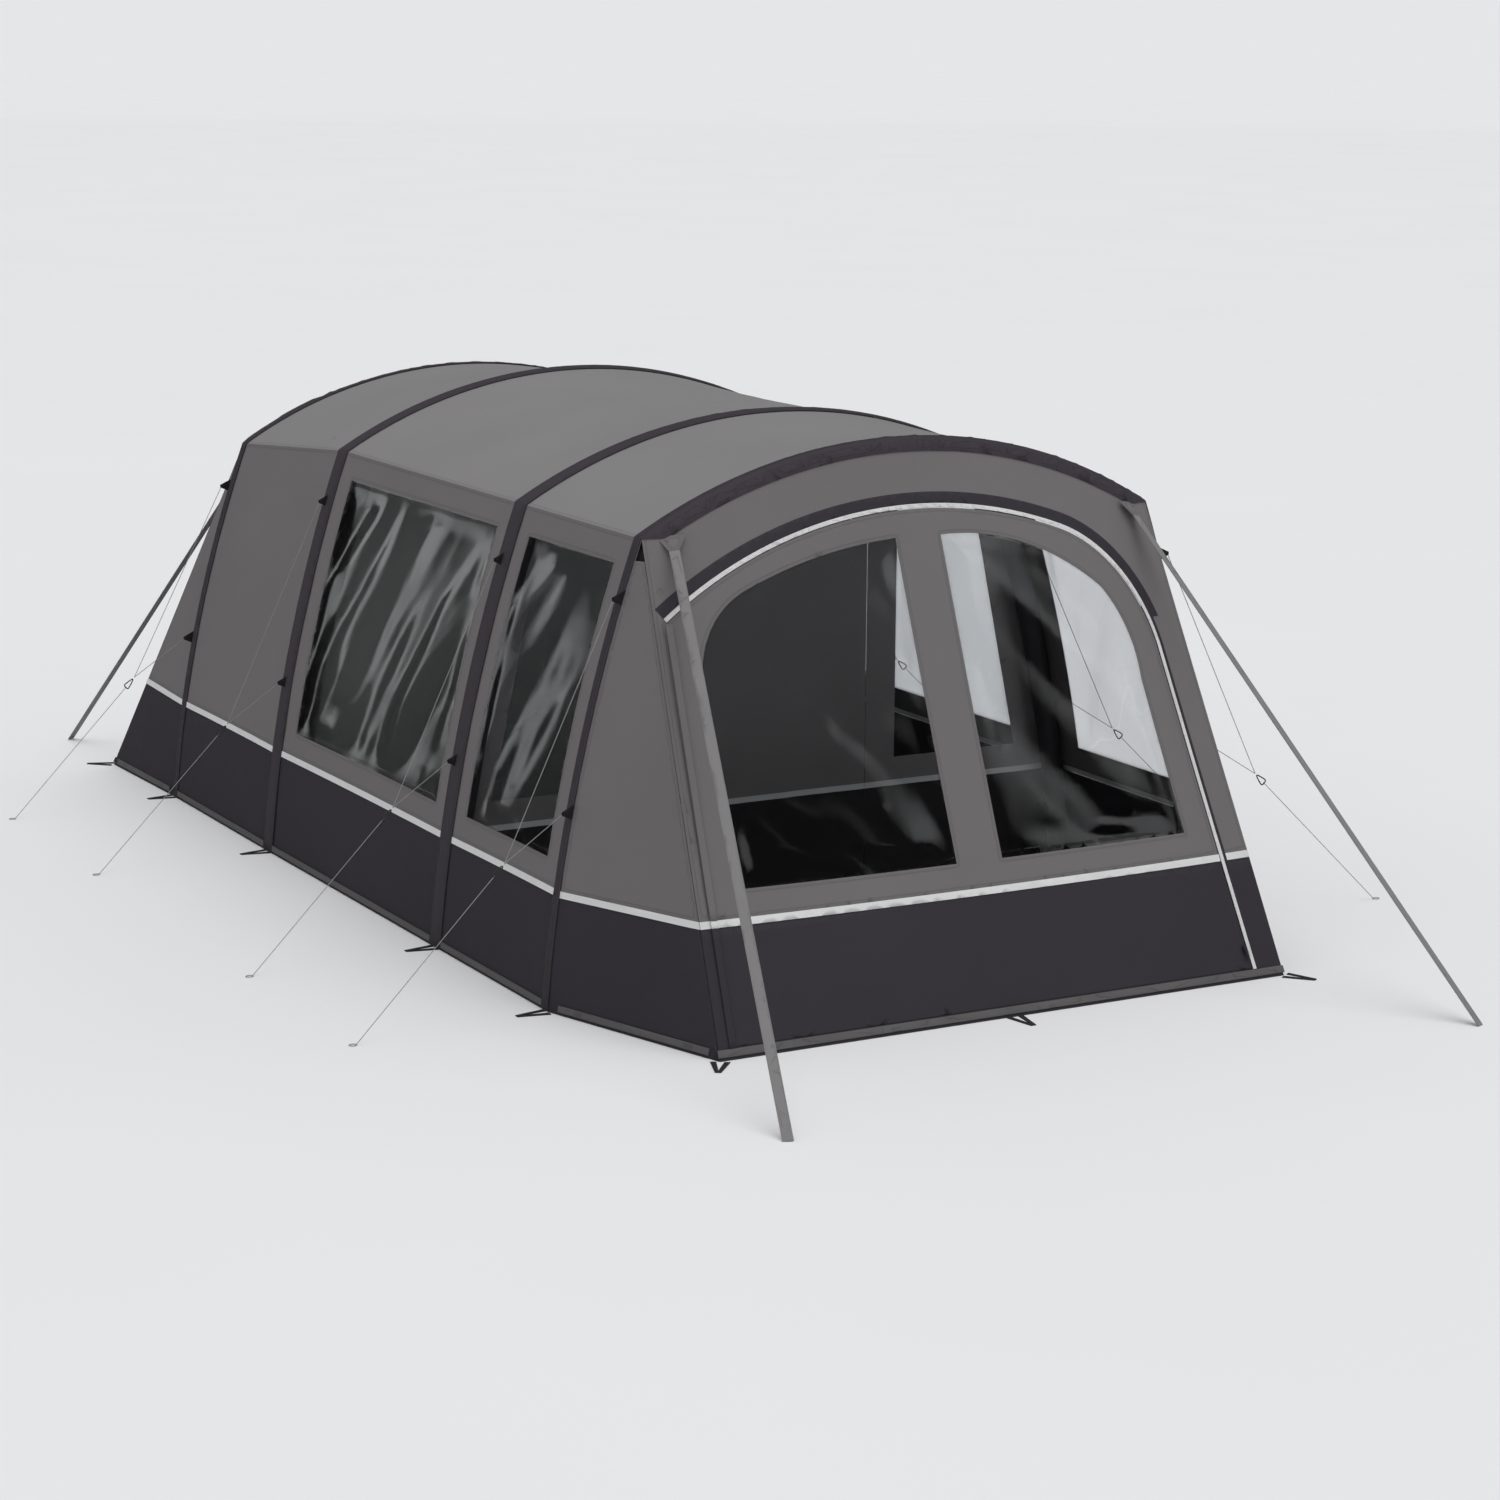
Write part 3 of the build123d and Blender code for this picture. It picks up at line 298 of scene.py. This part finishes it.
def sag(point):
    """Where tension leaves a point of the fly, as a shift from the straight panel."""
    x, y, z = point
    if y < beam_y[0]:
        run = (beam_y[0] - y) / (beam_y[0] - FRONT_EDGE)
        across = math.cos(math.pi / 2 * min(1.0, abs(x) / END_HALF))
        return FRONT_INWARD * (FRONT_SAG * math.sin(math.pi * min(1.0, run)) * across)
    if y > beam_y[3]:
        run = (y - beam_y[3]) / (REAR_EDGE - beam_y[3])
        across = math.cos(math.pi / 2 * min(1.0, abs(x) / END_HALF))
        return REAR_INWARD * (FRONT_SAG * math.sin(math.pi * min(1.0, run)) * across)
    bay = 0 if y < beam_y[1] else 1 if y < beam_y[2] else 2
    t = (y - beam_y[bay]) / (beam_y[bay + 1] - beam_y[bay])
    hang = 4 * t * (1 - t)
    if z > EAVES and abs(x) < MAIN_WALL[1] + 0.01:
        rise = min(1.0, (z - EAVES) / (RIDGE - EAVES))
        return Vector((0.0, 0.0, -BAY_SAG[bay] * hang * math.sin(math.pi / 2 * rise)))
    rise = min(1.0, z / EAVES)
    return Vector((-math.copysign(WALL_DRAW[bay] * hang * math.sin(math.pi * rise), x), 0.0, 0.0))


def outward(point):
    """The fly's outward direction near a point."""
    x, y, z = point
    if y < beam_y[0] and abs(x) < END_HALF:
        return -FRONT_INWARD
    if y > beam_y[3] and abs(x) < END_HALF:
        return -REAR_INWARD
    if z > EAVES:
        return Vector((x * 0.45, 0.0, 1.0)).normalized()
    return Vector((math.copysign(1.0, x), 0.0, 0.2)).normalized()


def cloth(node, finish, spacing, swell=0.0, waves=(3.0, 3.0, 3.0), reach=0.08, body="tent",
          follows_fly=True, push=None, seed=0.0, lift=0.0, crown=0.0):
    """The node's own outline, divided finely, let down onto the hanging fly and creased a little.
    swell is the creases' height, waves their number per metre, and reach how far from a sewn
    edge they grow to their full height. lift raises the whole piece, and crown its middle only.
    Each point keeps its distance from the edge."""
    shape = bmesh.new()
    shape.from_mesh(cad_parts[node].data)
    bmesh.ops.remove_doubles(shape, verts=shape.verts, dist=1e-5)
    low, high = (Vector(corner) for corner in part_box(node))
    for axis in range(3):
        normal = Vector([float(axis == i) for i in range(3)])
        count = int((high[axis] - low[axis]) / spacing)
        for step in range(1, count + 1):
            place = low + normal * (high[axis] - low[axis]) * step / (count + 1)
            everything = shape.verts[:] + shape.edges[:] + shape.faces[:]
            bmesh.ops.bisect_plane(shape, geom=everything, dist=2e-5, plane_co=place, plane_no=normal)
    bmesh.ops.remove_doubles(shape, verts=shape.verts, dist=5e-5)
    shape.normal_update()
    rim = [v for v in shape.verts
           if any(a.normal.dot(b.normal) < 0.5 for a in v.link_faces for b in v.link_faces)]
    tree = kdtree.KDTree(max(1, len(rim)))
    for number, vertex in enumerate(rim):
        tree.insert(vertex.co, number)
    tree.balance()
    edge_layer = shape.verts.layers.float.new("edge")
    for vertex in shape.verts:
        distance = tree.find(vertex.co)[2] if rim else 1.0
        vertex[edge_layer] = distance
        t = min(1.0, distance / reach)
        grow = t * t * (3 - 2 * t)
        spot = Vector([vertex.co[i] * waves[i] for i in range(3)]) + Vector((seed, seed, seed))
        crease = noise.noise(spot) + 0.4 * noise.noise(spot * 2.3)
        direction = push or outward(vertex.co)
        shift = sag(vertex.co) if follows_fly else Vector()
        vertex.co += shift + direction * (swell * grow * crease + lift + crown * grow)
    for face in shape.faces:
        face.smooth = True
    mesh = bpy.data.meshes.new(node + "_cloth")
    shape.to_mesh(mesh)
    shape.free()
    mesh.set_sharp_from_angle(angle=math.radians(40))
    mesh.materials.append(finish)
    piece = bpy.data.objects.new(node + "_cloth", mesh)
    bpy.context.collection.objects.link(piece)
    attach(piece, body)
    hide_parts(node)
    return piece


def cut(piece, width, length):
    """Area of a sheet's outline, set against the cloth it was cut from; nothing is kept."""
    area = sum(face.area for face in piece.data.polygons) / 2
    min(area, width * length)


THREAD_PITCH = 0.0011
HEM_WIDTH = 0.016
STITCH_PITCH = 0.004


def woven(name, tone, threads, roughness=0.78, cloud=0.05, crease=0.0011, hem=True, sheen=0.03):
    """Plain-woven coated cloth, its threads along two axes, with a stitched hem at each edge."""
    finish = Finish(name, Sheen_Weight=sheen, Sheen_Roughness=0.5, Specular_IOR_Level=0.18)
    axes = dict(zip("xyz", finish.axes()))
    warp, weft = (axes[thread] * (math.tau / THREAD_PITCH) for thread in threads)
    weave = warp.math("SINE") * weft.math("SINE")
    drift = finish.noise(1.6, 4.0)
    fibre = finish.noise(420.0, 2.0)
    puckers = finish.noise(7.0, 4.0)
    colour = linear(*tone)
    # The drift and fibre are the cloth's own random tone; the weave term is painted shade and highlight,
    # lighter where the threads rise and darker where they dip.
    shade = drift * 0.7 + fibre * 0.2 + weave * 0.02 + 0.05
    body_colour = finish.mix(shade, shaded(colour, 1 - 2 * cloud), shaded(colour, 1 + 2 * cloud))
    height = weave * 0.00002 + puckers * crease
    if hem:
        edge = finish.place.node("Attribute", {"attribute_name": "edge"}, {}, output=2)
        fold = edge < HEM_WIDTH
        dash = ((axes["x"] + axes["y"] + axes["z"]) * (math.tau / STITCH_PITCH)).math("SINE") > -0.2
        stitch = (abs(edge - HEM_WIDTH * 0.8) < 0.0009) * dash
        body_colour = finish.mix(fold * 0.35, body_colour, shaded(colour, 0.82))
        body_colour = finish.mix(stitch * 0.8, body_colour, shaded(colour, 0.6))
        height = height + fold * 0.0005 - stitch * 0.0004
    finish.feed("Base Color", body_colour)
    finish.feed("Roughness", puckers * 0.1 + (roughness - 0.05))
    finish.relief(height)
    return finish.material


# Painted top light: the roof is the walls' own cloth, painted a lighter grey than WALL_GREY because it
# faces the light from above.
ROOF_GREY_PAINTED_LIT = (135, 133, 134)
roof_finish = woven("roof_cloth", ROOF_GREY_PAINTED_LIT, "xy")
BAY_LENGTHS = [b - a for a, b in zip(beam_y, beam_y[1:])]
ROOF_WIDTH = 2.41
for bay, name in enumerate(("porch", "living", "bedroom")):
    roof = cloth("roof_" + name, roof_finish, 0.045, swell=0.0028,
                 waves=(2.0, 5.0, 2.0), reach=0.25, seed=bay * 3.1)
    cut(roof, BAY_LENGTHS[bay] + 0.02, ROOF_WIDTH)

# ---------------------------------------------------------------- side walls and corner gussets
# The same cloth in one panel down each side, cut out for the windows, and a tapering gusset
# at each corner of the sloping ends.
# The same cloth as the roof; the roof's lighter grey is painted top light, not a different cloth.
WALL_GREY = (114, 111, 112)
wall_finish = woven("wall_cloth", WALL_GREY, "yz")
TENT_LENGTH = beam_y[3] - beam_y[0]
for side in SIDES:
    wall = cloth("wall_" + HANDS[side], wall_finish, 0.045, swell=0.0022,
                 waves=(2.0, 2.5, 4.5), reach=0.12, seed=11.0 + side)
    cut(wall, 1.40, TENT_LENGTH + 0.01)
gussets = cloth("corner_gussets", wall_finish, 0.04, swell=0.002, reach=0.1, seed=5.0)
cut(gussets, 1.30, 2.0)

# ---------------------------------------------------------------- rear panel and vent
# A sloping rear panel with a mesh vent under a stiffened hood that lifts on its top edge.
end_finish = woven("end_cloth", WALL_GREY, "xz")
rear = cloth("rear_panel", end_finish, 0.045, swell=0.003, waves=(2.5, 2.0, 3.0),
             reach=0.12, seed=21.0)
cut(rear, 1.75, 2.90)
hood = cloth("rear_vent_hood", end_finish, 0.02, swell=0.001, reach=0.05,
             body="vent_hood", seed=2.0)
cut(hood, 0.34, 0.69)
mesh_finish = Finish("vent_mesh", Roughness=0.7)
MESH_PITCH = 0.0022
mesh_x, _, mesh_z = mesh_finish.axes()
holes = ((mesh_x * (math.tau / MESH_PITCH)).math("SINE") > 0.1) * (
    (mesh_z * (math.tau / MESH_PITCH)).math("SINE") > 0.1)
mesh_shade = mesh_finish.noise(60.0)
mesh_finish.feed("Base Color", mesh_finish.mix(mesh_shade, linear(30, 30, 32), linear(44, 44, 46)))
mesh_finish.feed("Alpha", 1 - holes * 0.75)
vent = cloth("rear_vent_mesh", mesh_finish.material, 0.03, swell=0.001, reach=0.05)
cut(vent, 0.25, 0.61)

# ---------------------------------------------------------------- front surround and porch door
# The sloping front is one cloth cut round the door. The door folds back on its left side and
# has a dark skirt of its own below a white band.
surround = cloth("front_surround", end_finish, 0.03, swell=0.0016, reach=0.06, seed=31.0)
cut(surround, 0.32, 4.40)
door = cloth("door_panel", end_finish, 0.03, swell=0.002, reach=0.06,
             body="front_door", seed=37.0)
cut(door, 1.40, 2.27)
SKIRT_DARK = (60, 56, 62)
skirt_end_finish = woven("skirt_end_cloth", SKIRT_DARK, "xz", roughness=0.6, hem=False)
door_skirt = cloth("door_skirt", skirt_end_finish, 0.035, swell=0.003,
                   waves=(4.0, 3.0, 1.0), reach=0.06, body="front_door", seed=41.0)
cut(door_skirt, 0.45, 2.33)

# ---------------------------------------------------------------- mud skirts, white band and hem
# Heavier dark cloth round the foot, sewn to the walls under a white band, with a grey tape
# along the ground between the beams.
skirt_finish = woven("skirt_cloth", SKIRT_DARK, "yz", roughness=0.6, hem=False)
skirts = cloth("skirt_sides", skirt_finish, 0.045, swell=0.004,
               waves=(1.0, 4.0, 1.2), reach=0.1, seed=51.0)
cut(skirts, 0.46, 2 * TENT_LENGTH + 0.05)
corners = cloth("skirt_corners", skirt_finish, 0.045, swell=0.003,
                waves=(3.0, 3.0, 1.2), reach=0.1, seed=53.0)
cut(corners, 0.46, 3.4)
for name, height, width in (("skirt_front", 0.20, 2.60), ("skirt_rear", 0.50, 3.15)):
    panel = cloth(name, skirt_end_finish, 0.045, swell=0.003,
                  waves=(4.0, 3.0, 1.2), reach=0.08, seed=57.0)
    cut(panel, height, width)


TAPE_STITCH_INSET = 0.0035
TAPE_THREAD = 0.0007


def tape(name, tone, ribs, rib_axis, roughness=0.7, stitching=0.5):
    """Narrow woven tape, ribbed across, with painted shade and highlight on the ribs and a stitch line
    near each edge.
    """
    finish = Finish(name, Roughness=roughness, Sheen_Weight=0.04, Specular_IOR_Level=0.2)
    axes = dict(zip("xyz", finish.axes()))
    along = axes[rib_axis[0]] if len(rib_axis) == 1 else axes[rib_axis[0]] + axes[rib_axis[1]]
    rib = (along * (math.tau / ribs)).math("SINE")
    edge = finish.place.node("Attribute", {"attribute_name": "edge"}, {}, output=2)
    stitch = abs(edge - TAPE_STITCH_INSET) < TAPE_THREAD
    colour = linear(*tone)
    drift = finish.noise(6.0)
    # Painted shade and highlight: besides the random drift, the colour is lighter on each rib's crest and
    # darker in its groove.
    shade = finish.mix(drift * 0.6 + rib * 0.2 + 0.1, shaded(colour, 0.85), shaded(colour, 1.12))
    finish.feed("Base Color", finish.mix(stitch * stitching, shade, shaded(colour, 0.6)))
    finish.relief(rib * 0.00006)
    return finish.material


band_finish = tape("white_band", (222, 222, 222), 0.0024, "xy", stitching=0.0)
BAND_LIFT = 0.0025          # sewn on over the seam
hem_finish = tape("hem_tape", (98, 96, 97), 0.0028, "xy")
for name, finish, slot, body, length in (
    ("body_piping", band_finish, "piping", "tent", 14.8),
    ("door_piping", band_finish, "piping", "front_door", 2.3),
    ("hem_band", hem_finish, "hem_tape", "tent", 17.5),
):
    band = cloth(name, finish, 0.05, body=body, lift=BAND_LIFT)
    cut(band, 0.03, length)

# ---------------------------------------------------------------- clear windows
# Flexible clear film welded into the cloth. It never hangs flat: slanting folds run through
# it, and show in what it mirrors.
MIRROR_HEAD_ON = 0.045
MIRROR_GLANCING = 0.9
WELD_WIDTH = 0.010
film_finish = Finish("clear_film", Base_Color=(0.9, 0.92, 0.93, 1.0), Metallic=1.0, Roughness=0.035)
facing = film_finish.place.node("LayerWeight", {}, {"Blend": 0.5}, output=1)
mirror = facing.math("POWER", 5.0) * MIRROR_GLANCING + MIRROR_HEAD_ON
weld = film_finish.place.node("Attribute", {"attribute_name": "edge"}, {}, output=2) < WELD_WIDTH
clear = film_finish.tree.nodes.new("ShaderNodeBsdfTransparent")
clear.inputs["Color"].default_value = (0.955, 0.96, 0.965, 1.0)
blend = film_finish.tree.nodes.new("ShaderNodeMixShader")
film_finish.tree.links.new((mirror + weld * 0.05).socket, blend.inputs[0])
film_finish.tree.links.new(clear.outputs[0], blend.inputs[1])
film_finish.tree.links.new(film_finish.shader.outputs[0], blend.inputs[2])
output = film_finish.tree.nodes["Material Output"]
film_finish.tree.links.new(blend.outputs[0], output.inputs["Surface"])
film_finish.relief(film_finish.noise(5.0, 1.0, (1.0, 1.0, 0.5)) * 0.002)
FOLD_REACH = 0.10           # how far from the weld a fold has its full height


def folds(piece, height, across, along, seed):
    """Slanting folds: high across their run and long along it, dying away at the weld."""
    edge = piece.data.attributes["edge"].data
    for vertex in piece.data.vertices:
        t = min(1.0, edge[vertex.index].value / FOLD_REACH)
        spot = Vector((vertex.co.dot(across), vertex.co.dot(along), seed))
        wave = noise.noise(spot) + 0.35 * noise.noise(spot * 2.1)
        vertex.co += outward(vertex.co) * (height * t * t * (3 - 2 * t) * wave)


side_film = cloth("side_windows", film_finish.material, 0.024)
folds(side_film, 0.022, Vector((1.0, 3.4, 2.0)), Vector((1.0, 0.8, -1.3)), 3.7)
cut(side_film, 2.26, 2.38)
door_film = cloth("door_windows", film_finish.material, 0.026, body="front_door")
folds(door_film, 0.016, Vector((2.0, 0.7, 1.5)), Vector((0.6, 0.4, -1.0)), 9.2)
cut(door_film, 1.32, 2.02)
divider_film = cloth("divider_windows", film_finish.material, 0.04,
                     push=Vector((0, -1, 0)), swell=0.012, waves=(4.0, 1.0, 2.0))
cut(divider_film, 1.10, 1.25)

# ---------------------------------------------------------------- beam stripes and guy tabs
# A dark strip over each air beam, sewn down both edges, with folded triangular tabs that
# take the guys.
stripe_finish = woven("stripe_cloth", (68, 63, 69), "yz", roughness=0.62, cloud=0.04)
stripes = cloth("beam_stripes", stripe_finish, 0.045, swell=0.0008, reach=0.03,
                lift=0.002, crown=0.007)
cut(stripes, 0.20, 24.0)
tab_finish = tape("tab_webbing", (40, 38, 42), 0.0016, "xz")
tabs = cloth("guy_tabs", tab_finish, 0.02)
cut(tabs, 0.06, 1.2)

# ---------------------------------------------------------------- storm straps and peg loops
# Flat woven straps from an anchor triangle at each shoulder to the ground, and short webbing
# loops for the pegs all round.
strap_finish = tape("strap_webbing", (134, 132, 133), 0.0021, "yz")
for name in ("storm_straps_front", "storm_straps_rear"):
    strap = cloth(name, strap_finish, 0.05, follows_fly=False)
    cut(strap, 0.045, 5.0)
anchors = cloth("strap_anchors", end_finish, 0.02, follows_fly=False)
cut(anchors, 0.12, 0.50)
loop_finish = tape("loop_webbing", (52, 50, 54), 0.0018, "xy")
loops = cloth("peg_loops", loop_finish, 0.02, follows_fly=False)
cut(loops, 0.08, 1.9)

# ---------------------------------------------------------------- inside: beams, sleeves, rooms
# Air beams in zipped sleeves, a divider behind the porch with its own skirt and windows, a
# hanging bedroom and a dark groundsheet with upturned sides.
sleeve_finish = woven("sleeve_cloth", (62, 60, 64), "yz", roughness=0.7, hem=False)
sleeves = cloth("beam_sleeves", sleeve_finish, 0.6, follows_fly=False,
                swell=0.002, waves=(6.0, 6.0, 6.0))
cut(sleeves, 0.62, 21.0)
beam_finish = Finish("beam_film", Roughness=0.3, Coat_Weight=0.3)
beam_cloud = beam_finish.noise(14.0)
beam_finish.feed("Base Color", beam_finish.mix(beam_cloud, linear(150, 152, 156), linear(176, 178, 182)))
beam_finish.relief(beam_cloud * 0.0008)
valve_finish = Finish("valve_plastic", Roughness=0.5)
valve_grain = valve_finish.noise(300.0)
valve_finish.feed("Base Color", valve_finish.mix(valve_grain, linear(34, 34, 36), linear(48, 48, 50)))
valve_finish.relief(valve_grain * 0.00008)
BAND_LOW = 0.439
BAND_HIGH = 0.464
inner_wall = Finish("divider_cloth", Roughness=0.75, Sheen_Weight=0.15)
_, _, wall_z = inner_wall.axes()
inner_noise = inner_wall.noise(2.0)
upper = inner_wall.mix(inner_noise, linear(132, 130, 131), linear(146, 144, 145))
banded = inner_wall.mix(wall_z < BAND_HIGH, upper, linear(236, 236, 236))
inner_wall.feed("Base Color", inner_wall.mix(wall_z < BAND_LOW, banded, linear(50, 47, 52)))
inner_wall.relief(inner_wall.noise(6.0) * 0.002)
divider = cloth("divider_wall", inner_wall.material, 0.05, follows_fly=False,
                push=Vector((0, 1, 0)), swell=0.010, waves=(3.5, 1.0, 0.9), reach=0.15, seed=61.0)
cut(divider, 2.10, 3.06)
divider_door = cloth("divider_door", inner_wall.material, 0.05, body="divider_door",
                     follows_fly=False, push=Vector((0, 1, 0)), swell=0.010,
                     waves=(4.0, 1.0, 0.8), reach=0.15, seed=63.0)
cut(divider_door, 1.0, 1.76)
room_finish = woven("bedroom_cloth", (168, 168, 166), "xz", roughness=0.8, hem=False)
bedroom = cloth("bedroom_inner", room_finish, 0.08, follows_fly=False,
                swell=0.008, waves=(3.0, 3.0, 1.5), reach=0.2, seed=67.0)
cut(bedroom, 4.6, 4.6)
bedroom_door = cloth("bedroom_door", room_finish, 0.05, body="bedroom_door",
                     follows_fly=False, push=Vector((0, 1, 0)), swell=0.006,
                     waves=(4.0, 1.0, 1.0), reach=0.12, seed=69.0)
cut(bedroom_door, 0.73, 1.46)
floor_finish = woven("groundsheet_cloth", (48, 48, 52), "xy", roughness=0.55, hem=False)
groundsheet = cloth("groundsheet", floor_finish, 0.09, follows_fly=False,
                    push=Vector((0, 0, 1)), swell=0.0, seed=71.0)
cut(groundsheet, 3.06, 5.95)

# ---------------------------------------------------------------- fold tapes
# A strip of the wall's own cloth is sewn over each fold line, so that the doors and the vent
# hood swing without a gap. It is soft, but here it is one fixed piece that does not bend with the joint.
TAPE_WIDTH = 0.030
TAPE_ROW = 0.035
TAPE_THICKNESS = 0.0012
TAPE_HINGE = 0.004           # half width of the strip's middle, over the fold line


def fold_tape(name, low, high, across, out, body, finish, lift=0.003):
    """Strip along a fold line, half on the tent and half on what swings."""
    low, high, across, out = Vector(low), Vector(high), Vector(across), Vector(out)
    rows = max(2, int((high - low).length / TAPE_ROW))
    columns = (-1.0, -0.55, -0.2, 0.2, 0.55, 1.0)
    points = [low + (high - low) * (i / rows) + across * (TAPE_WIDTH / 2 * c) + out * lift
              for i in range(rows + 1) for c in columns]
    count = len(columns)
    quads = [(i * count + k, i * count + k + 1, (i + 1) * count + k + 1, (i + 1) * count + k)
             for i in range(rows) for k in range(count - 1)]
    mesh = bpy.data.meshes.new(name)
    mesh.from_pydata(points, [], quads)
    strip = bpy.data.objects.new(name, mesh)
    shape = bmesh.new()
    shape.from_mesh(mesh)
    bmesh.ops.solidify(shape, geom=shape.faces[:], thickness=TAPE_THICKNESS)
    edge_layer = shape.verts.layers.float.new("edge")
    for vertex in shape.verts:
        vertex[edge_layer] = TAPE_WIDTH
        if body in ("front_door", "vent_hood"):
            vertex.co += sag(vertex.co)
    for face in shape.faces:
        face.smooth = True
    shape.to_mesh(mesh)
    shape.free()
    mesh.materials.append(finish)
    bpy.context.collection.objects.link(strip)
    middle = (low + high) / 2
    middle - across * TAPE_HINGE
    middle + across * TAPE_HINGE
    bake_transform(strip)
    (high - low).length


DOOR_FOLD = Vector((-1.205, -2.809, 0.0))
DOOR_FOLD_RISE = Vector((0.0611, 0.4697, 1.0))    # along the fold, for each metre of height
DOOR_FOLD_ACROSS = (0.9985, -0.0235, -0.0500)
for name, low, high, finish, slot in (
    ("door_fold_tape_low", 0.030, 0.438, skirt_end_finish, "skirt_fabric"),
    ("door_fold_tape_band", 0.4395, 0.4635, band_finish, "piping"),
    ("door_fold_tape_high", 0.465, 1.486, end_finish, "wall_fabric"),
):
    fold_tape(name, DOOR_FOLD + DOOR_FOLD_RISE * low, DOOR_FOLD + DOOR_FOLD_RISE * high,
              DOOR_FOLD_ACROSS, -FRONT_INWARD, "front_door", finish, lift=0.0045)
DIVIDER_FOLD = (-0.5015, -0.8315)
fold_tape("divider_fold_tape", (*DIVIDER_FOLD, 0.05), (*DIVIDER_FOLD, 1.77), (1, 0, 0), (0, -1, 0),
          "divider_door", inner_wall.material)
BEDROOM_FOLD = (-0.3615, 1.0335)
fold_tape("bedroom_fold_tape", (*BEDROOM_FOLD, 0.07), (*BEDROOM_FOLD, 1.49), (1, 0, 0), (0, 1, 0),
          "bedroom_door", room_finish)
HOOD_FOLD = (2.4427, 1.445)
fold_tape("hood_fold_tape", (-0.335, *HOOD_FOLD), (0.335, *HOOD_FOLD), (0.0, 0.425, -0.905),
          -REAR_INWARD, "vent_hood", end_finish, lift=0.004)

# ---------------------------------------------------------------- zip
# A white edging and a dark rain flap over the coil, and a moulded slider with its pull.
edging_finish = tape("zip_edging", (222, 222, 222), 0.0022, "xz")
edging = cloth("zip_edging", edging_finish, 0.03)
cut(edging, 0.02, 4.6)
flap = cloth("zip_rain_flap", skirt_end_finish, 0.03)
cut(flap, 0.045, 4.9)
metal_finish = Finish("zip_pull", Roughness=0.35, Coat_Weight=0.2)
pull_grain = metal_finish.noise(240.0)
metal_finish.feed("Base Color", metal_finish.mix(pull_grain, linear(36, 36, 38), linear(58, 58, 60)))
metal_finish.relief(pull_grain * 0.00005)
PLAIN_NODES = {
    **{"air_beam_" + name: beam_finish for name in BEAM_NAMES},
    **{"valve_cap_" + name: valve_finish for name in BEAM_NAMES},
    "valve_bodies": valve_finish,
    "zip_slider": metal_finish,
    "zip_puller": metal_finish,
}
for name, finish in PLAIN_NODES.items():
    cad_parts[name].data.materials.clear()
    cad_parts[name].data.materials.append(finish.material)

# ---------------------------------------------------------------- studio
# A wide pale floor under an even sky, a broad soft sun overhead, and a dome of soft boxes
# that only polished surfaces mirror.
floor_mesh = bpy.data.meshes.new("floor")
FLOOR = 3000.0
floor_mesh.from_pydata([(-FLOOR, -FLOOR, 0), (FLOOR, -FLOOR, 0), (FLOOR, FLOOR, 0), (-FLOOR, FLOOR, 0)],
                       [], [(0, 1, 2, 3)])
floor = bpy.data.objects.new("floor", floor_mesh)
bpy.context.collection.objects.link(floor)
floor.location.z = -0.0005
paper = Finish("studio_floor", Roughness=0.9, Specular_IOR_Level=0.1)
paper.feed("Base Color", paper.mix(paper.noise(0.4), linear(238, 238, 239), linear(242, 242, 243)))
floor_mesh.materials.append(paper.material)
floor.visible_glossy = False

SKY_STRENGTH = 0.55
SKY_SEEN_EXTRA = 0.28       # as pale as the floor where it is seen
sky = bpy.data.worlds.new("sky")
sky.use_nodes = True
sky.node_tree.nodes["Background"].inputs["Color"].default_value = (0.95, 0.96, 0.97, 1.0)
seen = Signal(sky.node_tree, sky.node_tree.nodes.new("ShaderNodeLightPath").outputs["Is Camera Ray"])
brightness = seen * SKY_SEEN_EXTRA + SKY_STRENGTH
sky.node_tree.links.new(brightness.socket, sky.node_tree.nodes["Background"].inputs["Strength"])
bpy.context.scene.world = sky

sun_data = bpy.data.lights.new("soft_sun", "SUN")
sun_data.energy = 1.28
sun_data.angle = math.radians(60)
sun = bpy.data.objects.new("soft_sun", sun_data)
sun.rotation_euler = (math.radians(16), math.radians(4), 0.0)
bpy.context.collection.objects.link(sun)

DOME = 90.0
dome_shape = bmesh.new()
bmesh.ops.create_uvsphere(dome_shape, u_segments=48, v_segments=24, radius=DOME)
dome_mesh = bpy.data.meshes.new("soft_box_dome")
dome_shape.to_mesh(dome_mesh)
dome_shape.free()
dome = bpy.data.objects.new("soft_box_dome", dome_mesh)
bpy.context.collection.objects.link(dome)
dome.visible_camera = False
dome.visible_diffuse = False
dome.visible_shadow = False
dome.visible_transmission = False
dome.visible_volume_scatter = False
boxes = Finish("soft_boxes", Base_Color=(0.0, 0.0, 0.0, 1.0), Roughness=1.0, Emission_Strength=1.0)
patches = boxes.noise(2.6 / DOME, 1.0, (1.0, 1.0, 1.6))
glow = patches.node("ValToRGB", {"stops": ((0.60, 0.01), (0.70, 0.72))}, {"Fac": patches})
boxes.feed("Emission Color", glow)
dome_mesh.materials.append(boxes.material)
bpy.context.scene.view_settings.view_transform = "Standard"
